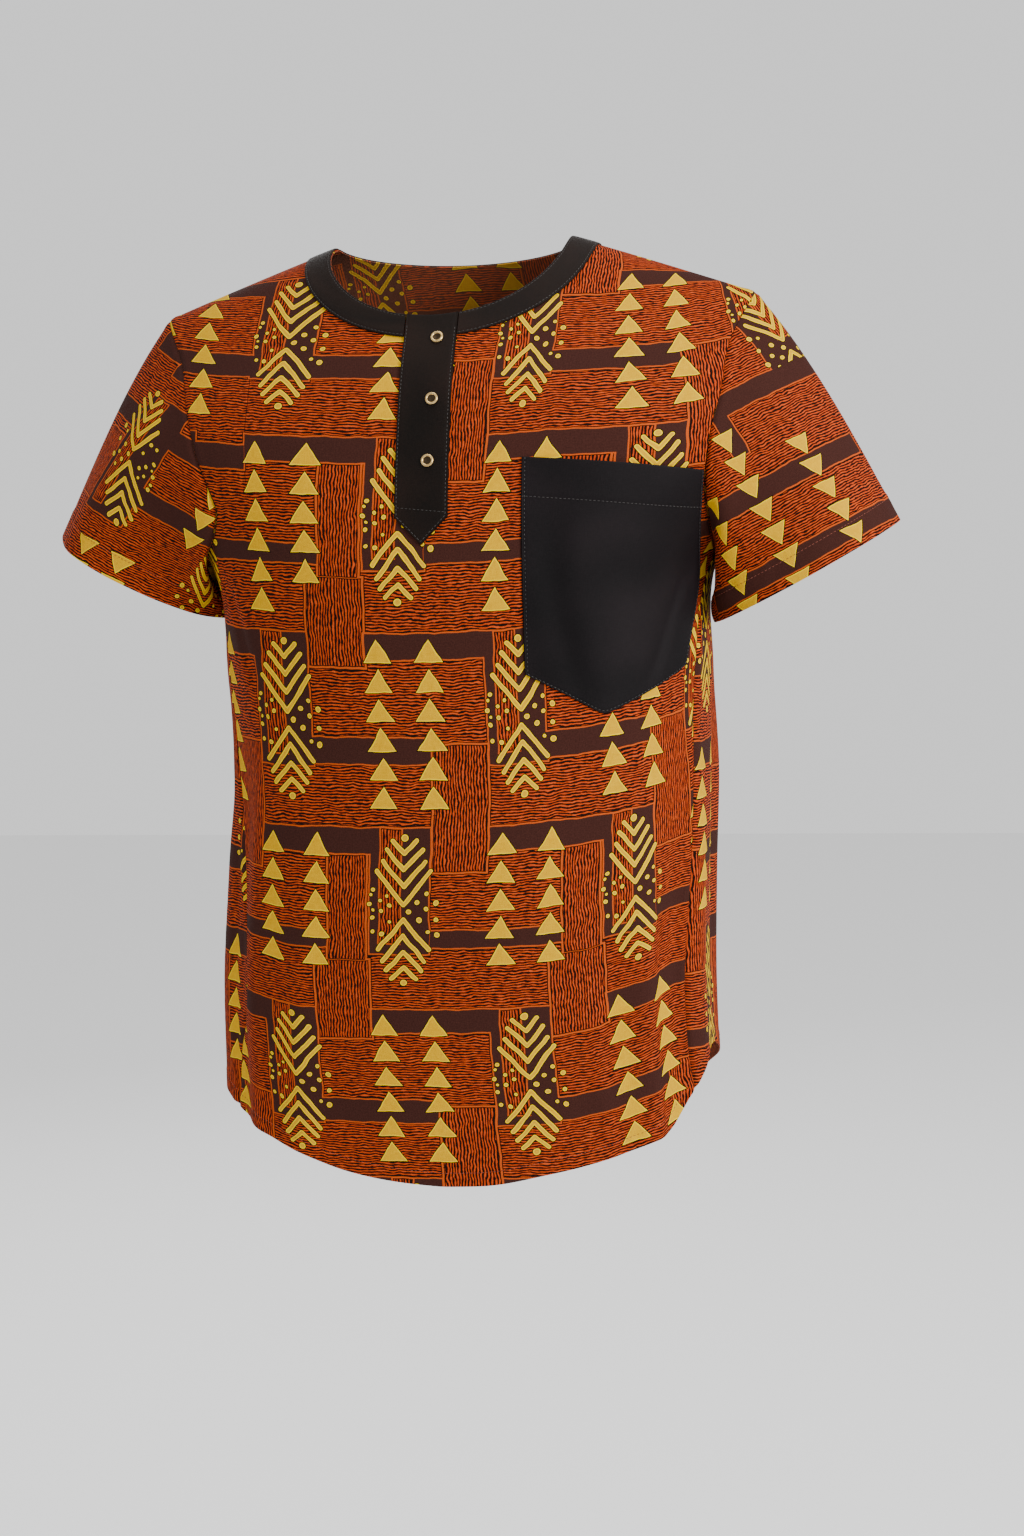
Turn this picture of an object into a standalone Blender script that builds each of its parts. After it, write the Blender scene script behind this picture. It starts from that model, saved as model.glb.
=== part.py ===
"""A short-sleeved print shirt in its worn form, with a round neck and a pointed placket.

Units are metres and +Z is up. The front of the shirt faces -Y and the wearer's left is +X.
The origin is midway between the two points where the neck edge meets the shoulder seams.
Run it with: blender --background --python part.py
"""
import bpy
import bmesh
import numpy as np
from mathutils import Vector, Matrix

# Cloth and sewing sizes
CLOTH = 0.0012              # wall thickness of the printed cotton
BAND_CLOTH = 0.0012         # neckband, folded double and pressed
PLACKET_CLOTH = 0.0014
SEAM_GAP = 0.0003           # space between two pieces that are sewn together
LAP_GAP = 0.0005            # space under a piece that lies on a panel

# Shoulders and neck
NECK_HALF = 0.090           # neck edge to centre line at the shoulder seam
SHOULDER_HALF = 0.2247      # shoulder tip to centre line
SHOULDER_SLOPE = 0.36
SHOULDER_ROUND = 0.050
ROLL_OVER = 0.130           # height in which the cloth turns from the shoulder seam to the chest
FRONT_NECK_DROP = 0.057
BACK_NECK_DROP = 0.012
NECK_CURVE = 1.08
SECTION_POWER = 2.3         # roundness of a level section, 2 for an ellipse

# Levels, measured from the neck edge at the shoulder seam
UNDERARM_Z = -0.235
SIDE_HEM_Z = -0.640         # about where the side seams end

# Neckband, placket, pocket and snaps
BAND_WIDTH = 0.020
BAND_FRONT_FALL = 0.80
BAND_BACK_FALL = 0.62
PLACKET_HALF = 0.0195
PLACKET_SHOULDER_Z = -0.2003
PLACKET_TIP_Z = -0.2200
SLIT_HALF = 0.003
SLIT_END_Z = -0.185
UNDERLAP_HALF = 0.015
UNDERLAP_GAP = 0.0008
POCKET_THICKNESS = 0.0012
SNAP_OUTER = 0.00475
SNAP_INNER = 0.0027
SNAP_HEIGHT = 0.0013
# Snaps: name, distance from centre front, height
SNAPS = (
    ("snap_top", 0.0056, -0.0740),
    ("snap_middle", 0.0056, -0.1178),
    ("snap_bottom", 0.0044, -0.1613),
)

# Level sections of the worn shirt: height, half width, front depth, back depth, sway to +X
SECTIONS = (
    (0.020, 0.2450, 0.070, 0.090, 0.0),
    (-0.056, 0.2450, 0.083, 0.101, 0.0),
    (-0.120, 0.2450, 0.109, 0.118, 0.0),
    (-0.160, 0.2360, 0.122, 0.126, 0.0),
    (-0.200, 0.2110, 0.131, 0.130, 0.0),
    (-0.240, 0.1905, 0.135, 0.130, 0.0),
    (-0.320, 0.1835, 0.133, 0.126, 0.0008),
    (-0.400, 0.1820, 0.130, 0.124, 0.0020),
    (-0.470, 0.1840, 0.126, 0.126, -0.0030),
    (-0.550, 0.1870, 0.115, 0.132, -0.0085),
    (-0.640, 0.1890, 0.103, 0.138, -0.0095),
    (-0.720, 0.1900, 0.099, 0.141, -0.0095),
)

# Edges of the panels as angles round the section, 0 at centre front and 180 at centre back:
# height, wearer's left, wearer's right
FRONT_ARMHOLE = (
    (-0.047, 64.8, 64.8), (-0.080, 57.0, 54.0), (-0.120, 54.8, 49.0), (-0.150, 53.8, 46.8),
    (-0.175, 56.8, 46.0), (-0.200, 65.0, 49.5), (-0.220, 75.0, 62.0), (-0.235, 86.0, 86.0),
)
BACK_ARMHOLE = (
    (-0.047, 115.2, 115.2), (-0.080, 118.0, 118.0), (-0.120, 120.2, 120.2),
    (-0.165, 120.0, 120.0), (-0.200, 114.5, 114.5), (-0.224, 101.5, 101.5),
    (-0.235, 86.0, 86.0),
)
# Both side seams lie forward of the sides
SIDE_SEAM = (
    (-0.235, 86.0, 86.0), (-0.290, 78.0, 71.5), (-0.380, 72.7, 67.0), (-0.480, 70.7, 60.0),
    (-0.555, 69.0, 54.0), (-0.605, 69.5, 63.0), (-0.660, 72.5, 68.0),
)

# Shirt-tail hem, which hangs a little higher on the wearer's left: angle, left height, right height
HEM = (
    (180.0, -0.703, -0.703), (155.0, -0.694, -0.697), (130.0, -0.662, -0.674),
    (110.0, -0.628, -0.652), (95.0, -0.607, -0.640), (82.0, -0.609, -0.638),
    (72.0, -0.629, -0.6445), (62.0, -0.654, -0.652), (48.0, -0.667, -0.6605),
    (34.0, -0.677, -0.6725), (20.0, -0.6855, -0.6855), (8.0, -0.6930, -0.6920),
    (0.0, -0.6945, -0.6945),
)

# Largest folds: side, angle at top, angle at bottom, top, bottom, half width in degrees, height
FOLDS = (
    (+1, 50.0, 53.0, -0.420, -0.680, 6.5, 0.0045),
    (+1, 64.0, 63.0, -0.400, -0.690, 6.0, -0.0045),
    (+1, 76.0, 77.0, -0.350, -0.690, 7.0, 0.0045),
    (+1, 14.0, 46.0, -0.240, -0.620, 13.0, -0.0025),
    (-1, 46.0, 50.0, -0.330, -0.660, 7.0, 0.0040),
    (-1, 60.0, 58.0, -0.360, -0.680, 6.0, -0.0035),
    (-1, 74.0, 80.0, -0.330, -0.690, 7.0, 0.0045),
    (-1, 56.0, 36.0, -0.200, -0.420, 10.0, 0.0030),
    (+1, 103.0, 106.0, -0.260, -0.690, 8.0, 0.0050),
    (-1, 103.0, 108.0, -0.260, -0.690, 8.0, 0.0045),
    (+1, 132.0, 140.0, -0.200, -0.690, 9.0, 0.0050),
    (-1, 128.0, 138.0, -0.230, -0.690, 9.0, 0.0055),
    (+1, 163.0, 158.0, -0.330, -0.690, 8.0, 0.0045),
    (-1, 166.0, 158.0, -0.350, -0.690, 8.0, 0.0040),
)

# Pocket edges on the front panel, top then bottom: distance from centre front, height
POCKET_INNER_EDGE = ((0.0715, -0.1605), (0.0702, -0.3140))
POCKET_OUTER_EDGE = ((0.1938, -0.1735), (0.1738, -0.3140))
POCKET_POINT_DROP = 0.0295
POCKET_POINT_AT = 0.39      # share of the pocket's width where its foot comes to a point

# Sleeves: side, distance of the hem ring's centre from the centre line, its height, its half length
SLEEVE_HEMS = {1: (0.2575, -0.2505, 0.0775), -1: (0.2535, -0.2405, 0.0755)}
HEM_LEAN = 27.4             # tilt of the hem line from level, outer end up
HEM_HALF_DEEP = 0.0640
HEM_BACK = 0.002
HEM_POINT = 1.25            # over 1 draws the ring to a blunt point at its outer and inner ends
HEM_FRONT_DIP = 4.0        # the front of the hem hangs lower, in degrees
SLEEVE_GAP = 0.0004
SLEEVE_OVER = (0.64, -0.77)     # way out of the armhole at the shoulder tip: outwards, up
SLEEVE_UNDER = (0.45, -0.89)    # the same at the underarm
SLEEVE_SPREAD = 0.12            # how far the way out turns to the front and to the back
FOLD_RUN_OUT = 1.4              # a sleeve fold would end this far down, past the hem
# Sleeve folds: angle round the sleeve, half width in degrees, height, start and end down the sleeve
SLEEVE_FOLDS = (
    (52.0, 16.0, 0.0040, 0.05, 1.0),
    (96.0, 15.0, -0.0030, 0.05, 0.9),
    (138.0, 15.0, 0.0035, 0.10, 1.0),
    (228.0, 16.0, 0.0035, 0.10, 1.0),
    (300.0, 18.0, 0.0030, 0.05, 0.9),
)

# Grid steps
NECK_STEPS = 7
SHOULDER_STEPS = 8
ARMHOLE_STEPS = 13
SIDE_STEPS = 15
SLEEVE_STEPS = 8
BAND_STEPS = 16
BAND_ROWS = 2
PLACKET_STEPS = (4, 14)
POCKET_STEPS = (14, 12)
SNAP_STEPS = 20
FAN_DEPTH = 0.35            # share of the length in which the columns spread to even steps
EVEN_SIDE_ROWS = 0.55       # 1 spaces the rows below the underarm evenly, less crowds them upwards
SIDE_RADIUS = 0.12          # bend of the section near the side seams
ON_RIDGE = 0.004            # points nearer than this to the shoulder line belong to its seam
RIDGE_TOUCH = 0.00001       # points nearer than this to it face straight up
NORMAL_STEP = 0.0006        # distance over which a surface direction is measured
FOLD_FADE = 0.35            # share of a fold's length in which it rises
SHARP_EDGE = 40.0           # degrees

COLOURS = {
    "print_cloth": ((0.42, 0.10, 0.025, 1.0), 0.80, 0.0),
    "black_cotton": ((0.012, 0.010, 0.011, 1.0), 0.72, 0.0),
    "antique_brass": ((0.55, 0.38, 0.14, 1.0), 0.32, 1.0),
}


def smooth_table(height, rows, column):
    """Value of one column at each height, on a smooth curve through the table's rows."""
    knots = np.array([row[0] for row in rows])[::-1]
    values = np.array([row[column] for row in rows])[::-1]
    slopes = np.gradient(values, knots)
    z = np.clip(height, knots[0], knots[-1])
    low = np.clip(np.searchsorted(knots, z, side="right") - 1, 0, len(knots) - 2)
    span = knots[low + 1] - knots[low]
    t = (z - knots[low]) / span
    return ((2 * t**3 - 3 * t**2 + 1) * values[low] + (t**3 - 2 * t**2 + t) * span * slopes[low]
            + (3 * t**2 - 2 * t**3) * values[low + 1] + (t**3 - t**2) * span * slopes[low + 1])


def ramp(value, start, end):
    """0 before start, 1 after end, with a smooth rise between."""
    t = np.clip((value - start) / (end - start), 0.0, 1.0)
    return t * t * (3.0 - 2.0 * t)


def ridge_height(x):
    """Height of the shoulder line, where the front meets the back."""
    reach = np.sqrt(x * x + SHOULDER_ROUND**2)
    return SHOULDER_SLOPE * (np.hypot(NECK_HALF, SHOULDER_ROUND) - reach)


TIP_Z = float(ridge_height(np.array(SHOULDER_HALF)))


def fold_height(angle, height):
    """Sum of the folds: each is a soft rib that fades at both of its ends."""
    total = np.zeros(np.broadcast(angle, height).shape)
    for side, top_angle, low_angle, top, low, width, rise in FOLDS:
        down = np.clip((top - height) / (top - low), 0.0, 1.0)
        centre = np.radians(top_angle + (low_angle - top_angle) * down) * side
        fade = ramp(down, 0.0, FOLD_FADE)
        off = (angle - centre) / np.radians(width)
        total = total + rise * fade * np.exp(-off * off)
    return total


def bare_skin(angle, height):
    """Point of the worn form, before folds, at an angle round the section and a height."""
    power = 2.0 / SECTION_POWER
    half = smooth_table(height, SECTIONS, 1)
    front = smooth_table(height, SECTIONS, 2)
    back = smooth_table(height, SECTIONS, 3)
    x = np.sign(np.sin(angle)) * half * np.abs(np.sin(angle))**power + smooth_table(height, SECTIONS, 4)
    fall = np.clip(ridge_height(x) - height, 0.0, ROLL_OVER)
    turn = np.sqrt(1.0 - (1.0 - fall / ROLL_OVER)**2)
    forward = np.cos(angle) > 0
    depth = np.where(forward, -front, back) * np.abs(np.cos(angle))**power
    return np.stack([x, depth * turn, height + 0.0 * x], axis=-1)


def skin_normal(angle, height):
    """Outward direction of the worn form, straight up from the shoulder line."""
    step = NORMAL_STEP
    turn = step / SIDE_RADIUS
    across = bare_skin(angle + turn, height) - bare_skin(angle - turn, height)
    down = bare_skin(angle, height - step) - bare_skin(angle, height + step)
    normal = np.cross(across, -down)
    x = bare_skin(angle, height)[..., 0]
    on_ridge = ridge_height(x) - height < RIDGE_TOUCH
    slope = (ridge_height(x + step) - ridge_height(x - step)) / (2 * step)
    upright = np.stack([-slope, 0.0 * slope, 1.0 + 0.0 * slope], axis=-1)
    normal = np.where(on_ridge[..., None], upright, normal)
    return normal / np.linalg.norm(normal, axis=-1, keepdims=True)


def skin(angle, height, out=0.0):
    """Point of the cloth's outer face, moved out along its normal by a distance."""
    lift = fold_height(angle, height) + out
    return bare_skin(angle, height) + skin_normal(angle, height) * lift[..., None]


def angle_at(x, height):
    """Angle of the front point that lies at a distance x from centre front."""
    half = smooth_table(height, SECTIONS, 1)
    across = x - smooth_table(height, SECTIONS, 4)
    share = np.clip(np.abs(across) / half, 0.0, 1.0)**(SECTION_POWER / 2.0)
    return np.sign(across) * np.arcsin(share)


def neck_height(share, front):
    """Height of the neck edge, from its centre (share 0) to the shoulder seam (share 1)."""
    drop = FRONT_NECK_DROP if front else BACK_NECK_DROP
    return -drop * np.cos(share * np.pi / 2)**NECK_CURVE


def edge_angle(height, front, side):
    """Angle of a panel's side edge: its armhole above the underarm, its side seam below."""
    column = 1 if side > 0 else 2
    armhole = smooth_table(height, FRONT_ARMHOLE if front else BACK_ARMHOLE, column)
    seam = smooth_table(height, SIDE_SEAM, column)
    return np.radians(np.where(height > UNDERARM_Z, armhole, seam))


def panel_half(front, side):
    """Angles and heights of half a panel, rows from neck to hem, columns from centre to side."""
    first = np.arcsin(SLIT_HALF / NECK_HALF) / (np.pi / 2) if front else 0.0
    neck = np.linspace(first, 1.0, NECK_STEPS + 1)
    neck_x = NECK_HALF * np.sin(neck * np.pi / 2)
    tip_edge = edge_angle(np.array(TIP_Z), True, side)
    neck_part = angle_at(neck_x, neck_height(neck, front)) / tip_edge
    shoulder_part = np.linspace(neck_part[-1], 1.0, SHOULDER_STEPS + 1)[1:]
    top_share = np.concatenate([neck_part, shoulder_part])
    shoulder_x = bare_skin(shoulder_part * tip_edge, np.full(SHOULDER_STEPS, TIP_Z))[:, 0]
    top_z = np.concatenate([neck_height(neck, front), ridge_height(shoulder_x)])
    even_share = np.linspace(top_share[0], 1.0, len(top_share))
    hem_angle = round_from_centre(even_share, edge_angle(SIDE_HEM_Z, front, side), front)
    hem_z = smooth_table(np.degrees(hem_angle), HEM, 1 if side > 0 else 2)

    armhole_share = (TIP_Z - UNDERARM_Z) / (TIP_Z - hem_z[-1])
    steps = np.arange(ARMHOLE_STEPS + 1) / ARMHOLE_STEPS
    upper = armhole_share * (1 - np.cos(np.pi * steps)) / 2
    down = np.arange(1, SIDE_STEPS + 1) / SIDE_STEPS
    spaced = EVEN_SIDE_ROWS * down + (1 - EVEN_SIDE_ROWS) * down**2
    lower = armhole_share + (1 - armhole_share) * spaced
    rows = np.concatenate([upper, lower])[:, None]

    height = top_z[None, :] + (hem_z - top_z)[None, :] * rows
    settle = 1 - (1 - np.clip(rows / FAN_DEPTH, 0.0, 1.0))**2
    share = top_share[None, :] * (1 - settle) + even_share[None, :] * settle
    return round_from_centre(share, edge_angle(height, front, side), front), height


def round_from_centre(share, edge, front):
    """Angle at a share of the way from the panel's centre line to its side edge."""
    return share * edge if front else np.pi - share * (np.pi - edge)


def panel_grid(front):
    """Outer and inner points of a whole panel, from the wearer's right to the wearer's left."""
    left_angle, left_height = panel_half(front, 1)
    right_angle, right_height = panel_half(front, -1)
    start = 0 if front else 1
    angle = np.concatenate([-right_angle[:, ::-1], left_angle[:, start:]], axis=1)
    height = np.concatenate([right_height[:, ::-1], left_height[:, start:]], axis=1)
    clear = SEAM_GAP / 2
    toward_centre = 1 if front else -1
    angle[:, -1] -= toward_centre * clear / SIDE_RADIUS
    angle[:, 0] += toward_centre * clear / SIDE_RADIUS
    outer = skin(angle, height)
    inner = skin(angle, height, -CLOTH)
    for points in (outer, inner):
        points[0, :, 1] -= toward_centre * clear * (np.abs(points[0, :, 1]) < ON_RIDGE)
    return outer, inner, angle, height


def wall(name, outer, inner, keep=None, around=False):
    """Closed wall between two grids, with a rim along every open edge."""
    rows, columns = outer.shape[:2]
    cells = columns if around else columns - 1
    if keep is None:
        keep = np.ones((rows - 1, cells), bool)
    index = np.arange(rows * columns).reshape(rows, columns)
    shift = rows * columns
    faces = []
    borders = {}
    for r in range(rows - 1):
        for c in range(cells):
            if not keep[r, c]:
                continue
            right = (c + 1) % columns
            quad = [index[r, c], index[r + 1, c], index[r + 1, right], index[r, right]]
            faces.append(quad)
            faces.append([corner + shift for corner in reversed(quad)])
            for a, b in zip(quad, quad[1:] + quad[:1]):
                if (b, a) in borders:
                    del borders[(b, a)]
                else:
                    borders[(a, b)] = True
    for a, b in borders:
        faces.append([b, a, a + shift, b + shift])
    points = np.concatenate([outer.reshape(-1, 3), inner.reshape(-1, 3)])
    return new_mesh(name, points, faces)


def new_mesh(name, points, faces):
    """Mesh from points and faces, with unused points removed and its faces turned outwards."""
    mesh = bpy.data.meshes.new(name)
    mesh.from_pydata([tuple(p) for p in points], [], [tuple(int(i) for i in f) for f in faces])
    shape = bmesh.new()
    shape.from_mesh(mesh)
    loose = [v for v in shape.verts if not v.link_faces]
    bmesh.ops.delete(shape, geom=loose, context="VERTS")
    bmesh.ops.recalc_face_normals(shape, faces=shape.faces)
    bmesh.ops.triangulate(shape, faces=shape.faces)
    shape.to_mesh(mesh)
    shape.free()
    return mesh


def add_piece(name, mesh, finish):
    """Named object for one sewn piece, with its own material."""
    colour, roughness, metallic = COLOURS[finish]
    material = bpy.data.materials.new(name + "_" + finish)
    material.use_nodes = True
    shader = material.node_tree.nodes["Principled BSDF"]
    shader.inputs["Base Color"].default_value = colour
    shader.inputs["Roughness"].default_value = roughness
    shader.inputs["Metallic"].default_value = metallic
    mesh.materials.append(material)
    mesh.shade_smooth()
    mesh.set_sharp_from_angle(angle=np.radians(SHARP_EDGE))
    piece = bpy.data.objects.new(name, mesh)
    bpy.context.scene.collection.objects.link(piece)
    return piece


def make_front():
    """Front panel with the neck slit under the placket."""
    outer, inner, _, height = panel_grid(True)
    keep = np.ones((outer.shape[0] - 1, outer.shape[1] - 1), bool)
    middle = (outer.shape[1] - 1) // 2
    keep[height[1:, middle] > SLIT_END_Z, middle] = False
    add_piece("front", wall("front", outer, inner, keep), "print_cloth")


def make_back():
    """Back panel, cut in one piece."""
    outer, inner, _, _ = panel_grid(False)
    add_piece("back", wall("back", inner, outer), "print_cloth")


def armhole_loop(side):
    """Points and panel normals round one armhole: down its front edge, then up its back edge."""
    column = -1 if side > 0 else 0
    loops = []
    for kind in ("points", "normals"):
        edges = []
        for front in (True, False):
            outer, _, angle, height = panel_grid(front)
            rows = outer if kind == "points" else skin_normal(angle, height)
            edges.append(rows[:ARMHOLE_STEPS + 1, column])
        front_edge, back_edge = edges
        tip = (front_edge[0] + back_edge[0]) / 2
        pit = (front_edge[-1] + back_edge[-1]) / 2
        loops.append(np.concatenate([[tip], front_edge[1:-1], [pit], back_edge[-2:0:-1]]))
    return loops


def sleeve_grid(side):
    """Outer and inner points of a sleeve, rows from armhole to hem, columns round the arm."""
    loop, panel_normal = armhole_loop(side)
    count = len(loop)
    half = count // 2
    steps = np.linalg.norm(np.roll(loop, -1, axis=0) - loop, axis=1)
    walked = np.concatenate([[0.0], np.cumsum(steps)[:-1]])
    front_length = walked[half]
    back_length = steps.sum() - front_length
    by_length = np.where(np.arange(count) <= half, np.pi * walked / front_length,
                         np.pi + np.pi * (walked - front_length) / back_length)
    even = np.arange(count) * 2 * np.pi / count

    lean = np.radians(HEM_LEAN)
    dip = np.radians(HEM_FRONT_DIP)
    long_axis = np.array([side * np.cos(lean), 0.0, np.sin(lean)])
    axis = np.array([side * np.sin(lean), 0.0, -np.cos(lean)])
    deep_axis = np.array([0.0, -np.cos(dip), 0.0]) + axis * np.sin(dip)
    hem_x, hem_z, half_long = SLEEVE_HEMS[side]
    centre = np.array([side * hem_x, HEM_BACK, hem_z])

    turn = (by_length + even)[:, None] / 2
    depth = HEM_HALF_DEEP * np.sign(np.sin(turn)) * np.abs(np.sin(turn))**HEM_POINT
    hem = centre + long_axis * half_long * np.cos(turn) + deep_axis * depth
    top = (1 + np.cos(by_length))[:, None] / 2
    over = np.array([side * SLEEVE_OVER[0], 0.0, SLEEVE_OVER[1]])
    under = np.array([side * SLEEVE_UNDER[0], 0.0, SLEEVE_UNDER[1]])
    leave = over * top + under * (1 - top)
    leave[:, 1] -= SLEEVE_SPREAD * np.sin(by_length)
    leave = leave / np.linalg.norm(leave, axis=1, keepdims=True)
    start = loop + leave * SLEEVE_GAP
    chord = np.linalg.norm(hem - start, axis=1)[:, None]

    t = (np.arange(SLEEVE_STEPS + 1) / SLEEVE_STEPS)[:, None, None]
    grid = ((2 * t**3 - 3 * t**2 + 1) * start + (t**3 - 2 * t**2 + t) * leave * chord
            + (3 * t**2 - 2 * t**3) * hem + (t**3 - t**2) * axis * chord)
    normal = grid_normal(grid, side)
    match = top**2 * (t[:, :, 0] == 0)[..., None]
    normal = normal * (1 - match) + panel_normal * match
    normal = normal / np.linalg.norm(normal, axis=-1, keepdims=True)
    rise = np.zeros(grid.shape[:2])
    for where, width, height, begin, end in SLEEVE_FOLDS:
        off = (turn[:, 0] - np.radians(where)) / np.radians(width)
        along = ramp(t[:, :, 0], begin, begin + FOLD_FADE) * (1 - ramp(t[:, :, 0], end, FOLD_RUN_OUT))
        rise = rise + height * along * np.exp(-off * off)[None, :]
    outer = grid + normal * rise[..., None]
    return outer, outer - normal * CLOTH


def grid_normal(grid, side):
    """Outward normals of a tube of points, rows along it and columns round it."""
    around = np.roll(grid, -1, axis=1) - np.roll(grid, 1, axis=1)
    along = np.gradient(grid, axis=0)
    normal = np.cross(around, along) * side
    return normal / np.linalg.norm(normal, axis=-1, keepdims=True)


def make_sleeves():
    """Two set-in sleeves, alike but for their side."""
    for name, side in (("sleeve_left", 1), ("sleeve_right", -1)):
        outer, inner = sleeve_grid(side)
        add_piece(name, wall(name, outer, inner, around=True), "print_cloth")


def make_neckband():
    """Flat black band on the outside of the neck edge, its ends against the placket."""
    across = np.linspace(0.0, BAND_WIDTH, BAND_ROWS + 1)[:, None]
    radius = NECK_HALF + across
    first = np.arcsin((PLACKET_HALF + SEAM_GAP) / radius)
    even = np.linspace(0.0, 1.0, BAND_STEPS + 1)[None, :]
    step = (even + np.sin(even * np.pi / 2)) / 2
    seam_z = ridge_height(radius)

    front_turn = first + (np.pi / 2 - first) * step
    front_low = -FRONT_NECK_DROP - across * BAND_FRONT_FALL
    front_z = seam_z + (front_low - seam_z) * np.cos(front_turn)**NECK_CURVE
    front_angle = angle_at(radius * np.sin(front_turn), front_z)

    back_turn = (np.pi / 2) * (1 - step[:, 1:])
    back_low = -BACK_NECK_DROP - across * BAND_BACK_FALL
    back_z = seam_z + (back_low - seam_z) * np.cos(back_turn)**NECK_CURVE
    back_angle = np.pi - angle_at(radius * np.sin(back_turn), back_z)

    angle = np.concatenate([front_angle, back_angle], axis=1)
    height = np.concatenate([front_z, back_z], axis=1)
    angle = np.concatenate([angle, 2 * np.pi - angle[:, -2::-1]], axis=1)
    height = np.concatenate([height, height[:, -2::-1]], axis=1)
    outer = skin(angle, height, LAP_GAP + BAND_CLOTH)
    inner = skin(angle, height, LAP_GAP)
    add_piece("neckband", wall("neckband", outer, inner), "black_cotton")


def lay_on_front(name, angle, height, low, high, finish):
    """Piece that lies on the front panel between two distances from its outer face."""
    add_piece(name, wall(name, skin(angle, height, high), skin(angle, height, low)), finish)


def placket_strip(half, foot_z, point_z):
    """Angles and heights of a strip down centre front, from the neck edge to a pointed foot."""
    columns, rows = PLACKET_STEPS
    across = np.linspace(-1.0, 1.0, columns + 1)[None, :]
    down = np.linspace(0.0, 1.0, rows + 1)[:, None]
    x = half * across + 0.0 * down
    top = neck_height(np.arcsin(np.abs(x) / NECK_HALF) / (np.pi / 2), True)
    foot = point_z + (foot_z - point_z) * np.abs(across)
    height = top + (foot - top) * down
    return angle_at(x, height), height


def make_placket():
    """Pointed placket over the slit, and the plain strip behind it."""
    angle, height = placket_strip(PLACKET_HALF, PLACKET_SHOULDER_Z, PLACKET_TIP_Z)
    lay_on_front("placket", angle, height, LAP_GAP, LAP_GAP + PLACKET_CLOTH, "black_cotton")
    angle, height = placket_strip(UNDERLAP_HALF, PLACKET_SHOULDER_Z, PLACKET_SHOULDER_Z)
    behind = -CLOTH - UNDERLAP_GAP
    lay_on_front("placket_under", angle, height, behind - CLOTH, behind, "black_cotton")


def make_pocket():
    """Five-sided patch pocket on the wearer's left chest."""
    columns, rows = POCKET_STEPS
    across = np.linspace(0.0, 1.0, columns + 1)[None, :]
    down = np.linspace(0.0, 1.0, rows + 1)[:, None]
    edges = []
    for (top_x, top_z), (low_x, low_z) in (POCKET_INNER_EDGE, POCKET_OUTER_EDGE):
        height = top_z + (low_z - top_z) * down
        edges.append((angle_at(top_x + (low_x - top_x) * down, height), height))
    (inner_angle, inner_z), (outer_angle, outer_z) = edges
    angle = inner_angle + (outer_angle - inner_angle) * across
    side_share = np.where(across < POCKET_POINT_AT, POCKET_POINT_AT, 1 - POCKET_POINT_AT)
    point = 1 - np.abs(across - POCKET_POINT_AT) / side_share
    height = inner_z + (outer_z - inner_z) * across - POCKET_POINT_DROP * point * down
    lay_on_front("pocket", angle, height, LAP_GAP, LAP_GAP + POCKET_THICKNESS, "black_cotton")


def make_snaps():
    """Three ring snaps on the placket, turned from a small rounded profile."""
    mid = (SNAP_OUTER + SNAP_INNER) / 2
    profile = ((SNAP_INNER, 0.0), (SNAP_INNER, 0.6 * SNAP_HEIGHT), (mid, SNAP_HEIGHT),
               (SNAP_OUTER, 0.55 * SNAP_HEIGHT), (SNAP_OUTER, 0.0))
    for name, across, level in SNAPS:
        shape = bmesh.new()
        corners = [shape.verts.new((radius, 0.0, rise)) for radius, rise in profile]
        edges = [shape.edges.new((a, b)) for a, b in zip(corners, corners[1:] + corners[:1])]
        bmesh.ops.spin(shape, geom=corners + edges, cent=(0, 0, 0), axis=(0, 0, 1),
                       angle=2 * np.pi, steps=SNAP_STEPS, use_merge=True)
        bmesh.ops.remove_doubles(shape, verts=shape.verts, dist=0.00001)
        bmesh.ops.recalc_face_normals(shape, faces=shape.faces)
        mesh = bpy.data.meshes.new(name)
        shape.to_mesh(mesh)
        shape.free()
        height = np.array([level])
        angle = angle_at(np.array([across]), height)
        seat = skin(angle, height, 2 * LAP_GAP + PLACKET_CLOTH)[0]
        facing = Vector(skin_normal(angle, height)[0])
        turn = Vector((0, 0, 1)).rotation_difference(facing).to_matrix().to_4x4()
        mesh.transform(Matrix.Translation(Vector(seat)) @ turn)
        add_piece(name, mesh, "antique_brass")


def main():
    """Clear the scene and make every piece."""
    for item in list(bpy.data.objects):
        bpy.data.objects.remove(item, do_unlink=True)
    make_front()
    make_back()
    make_sleeves()
    make_neckband()
    make_placket()
    make_pocket()
    make_snaps()


main()
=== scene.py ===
"""A short-sleeved shirt of geometric print cotton in its worn form, dressed for its portrait.

Every size is in metres. +Z is up, the front faces -Y and the wearer's left is +X.
"""
from __future__ import annotations

import logging
import math
from dataclasses import dataclass
from enum import Enum
from functools import reduce
from typing import NamedTuple, Union

import bpy
import numpy as np
from mathutils import Matrix, Vector

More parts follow.
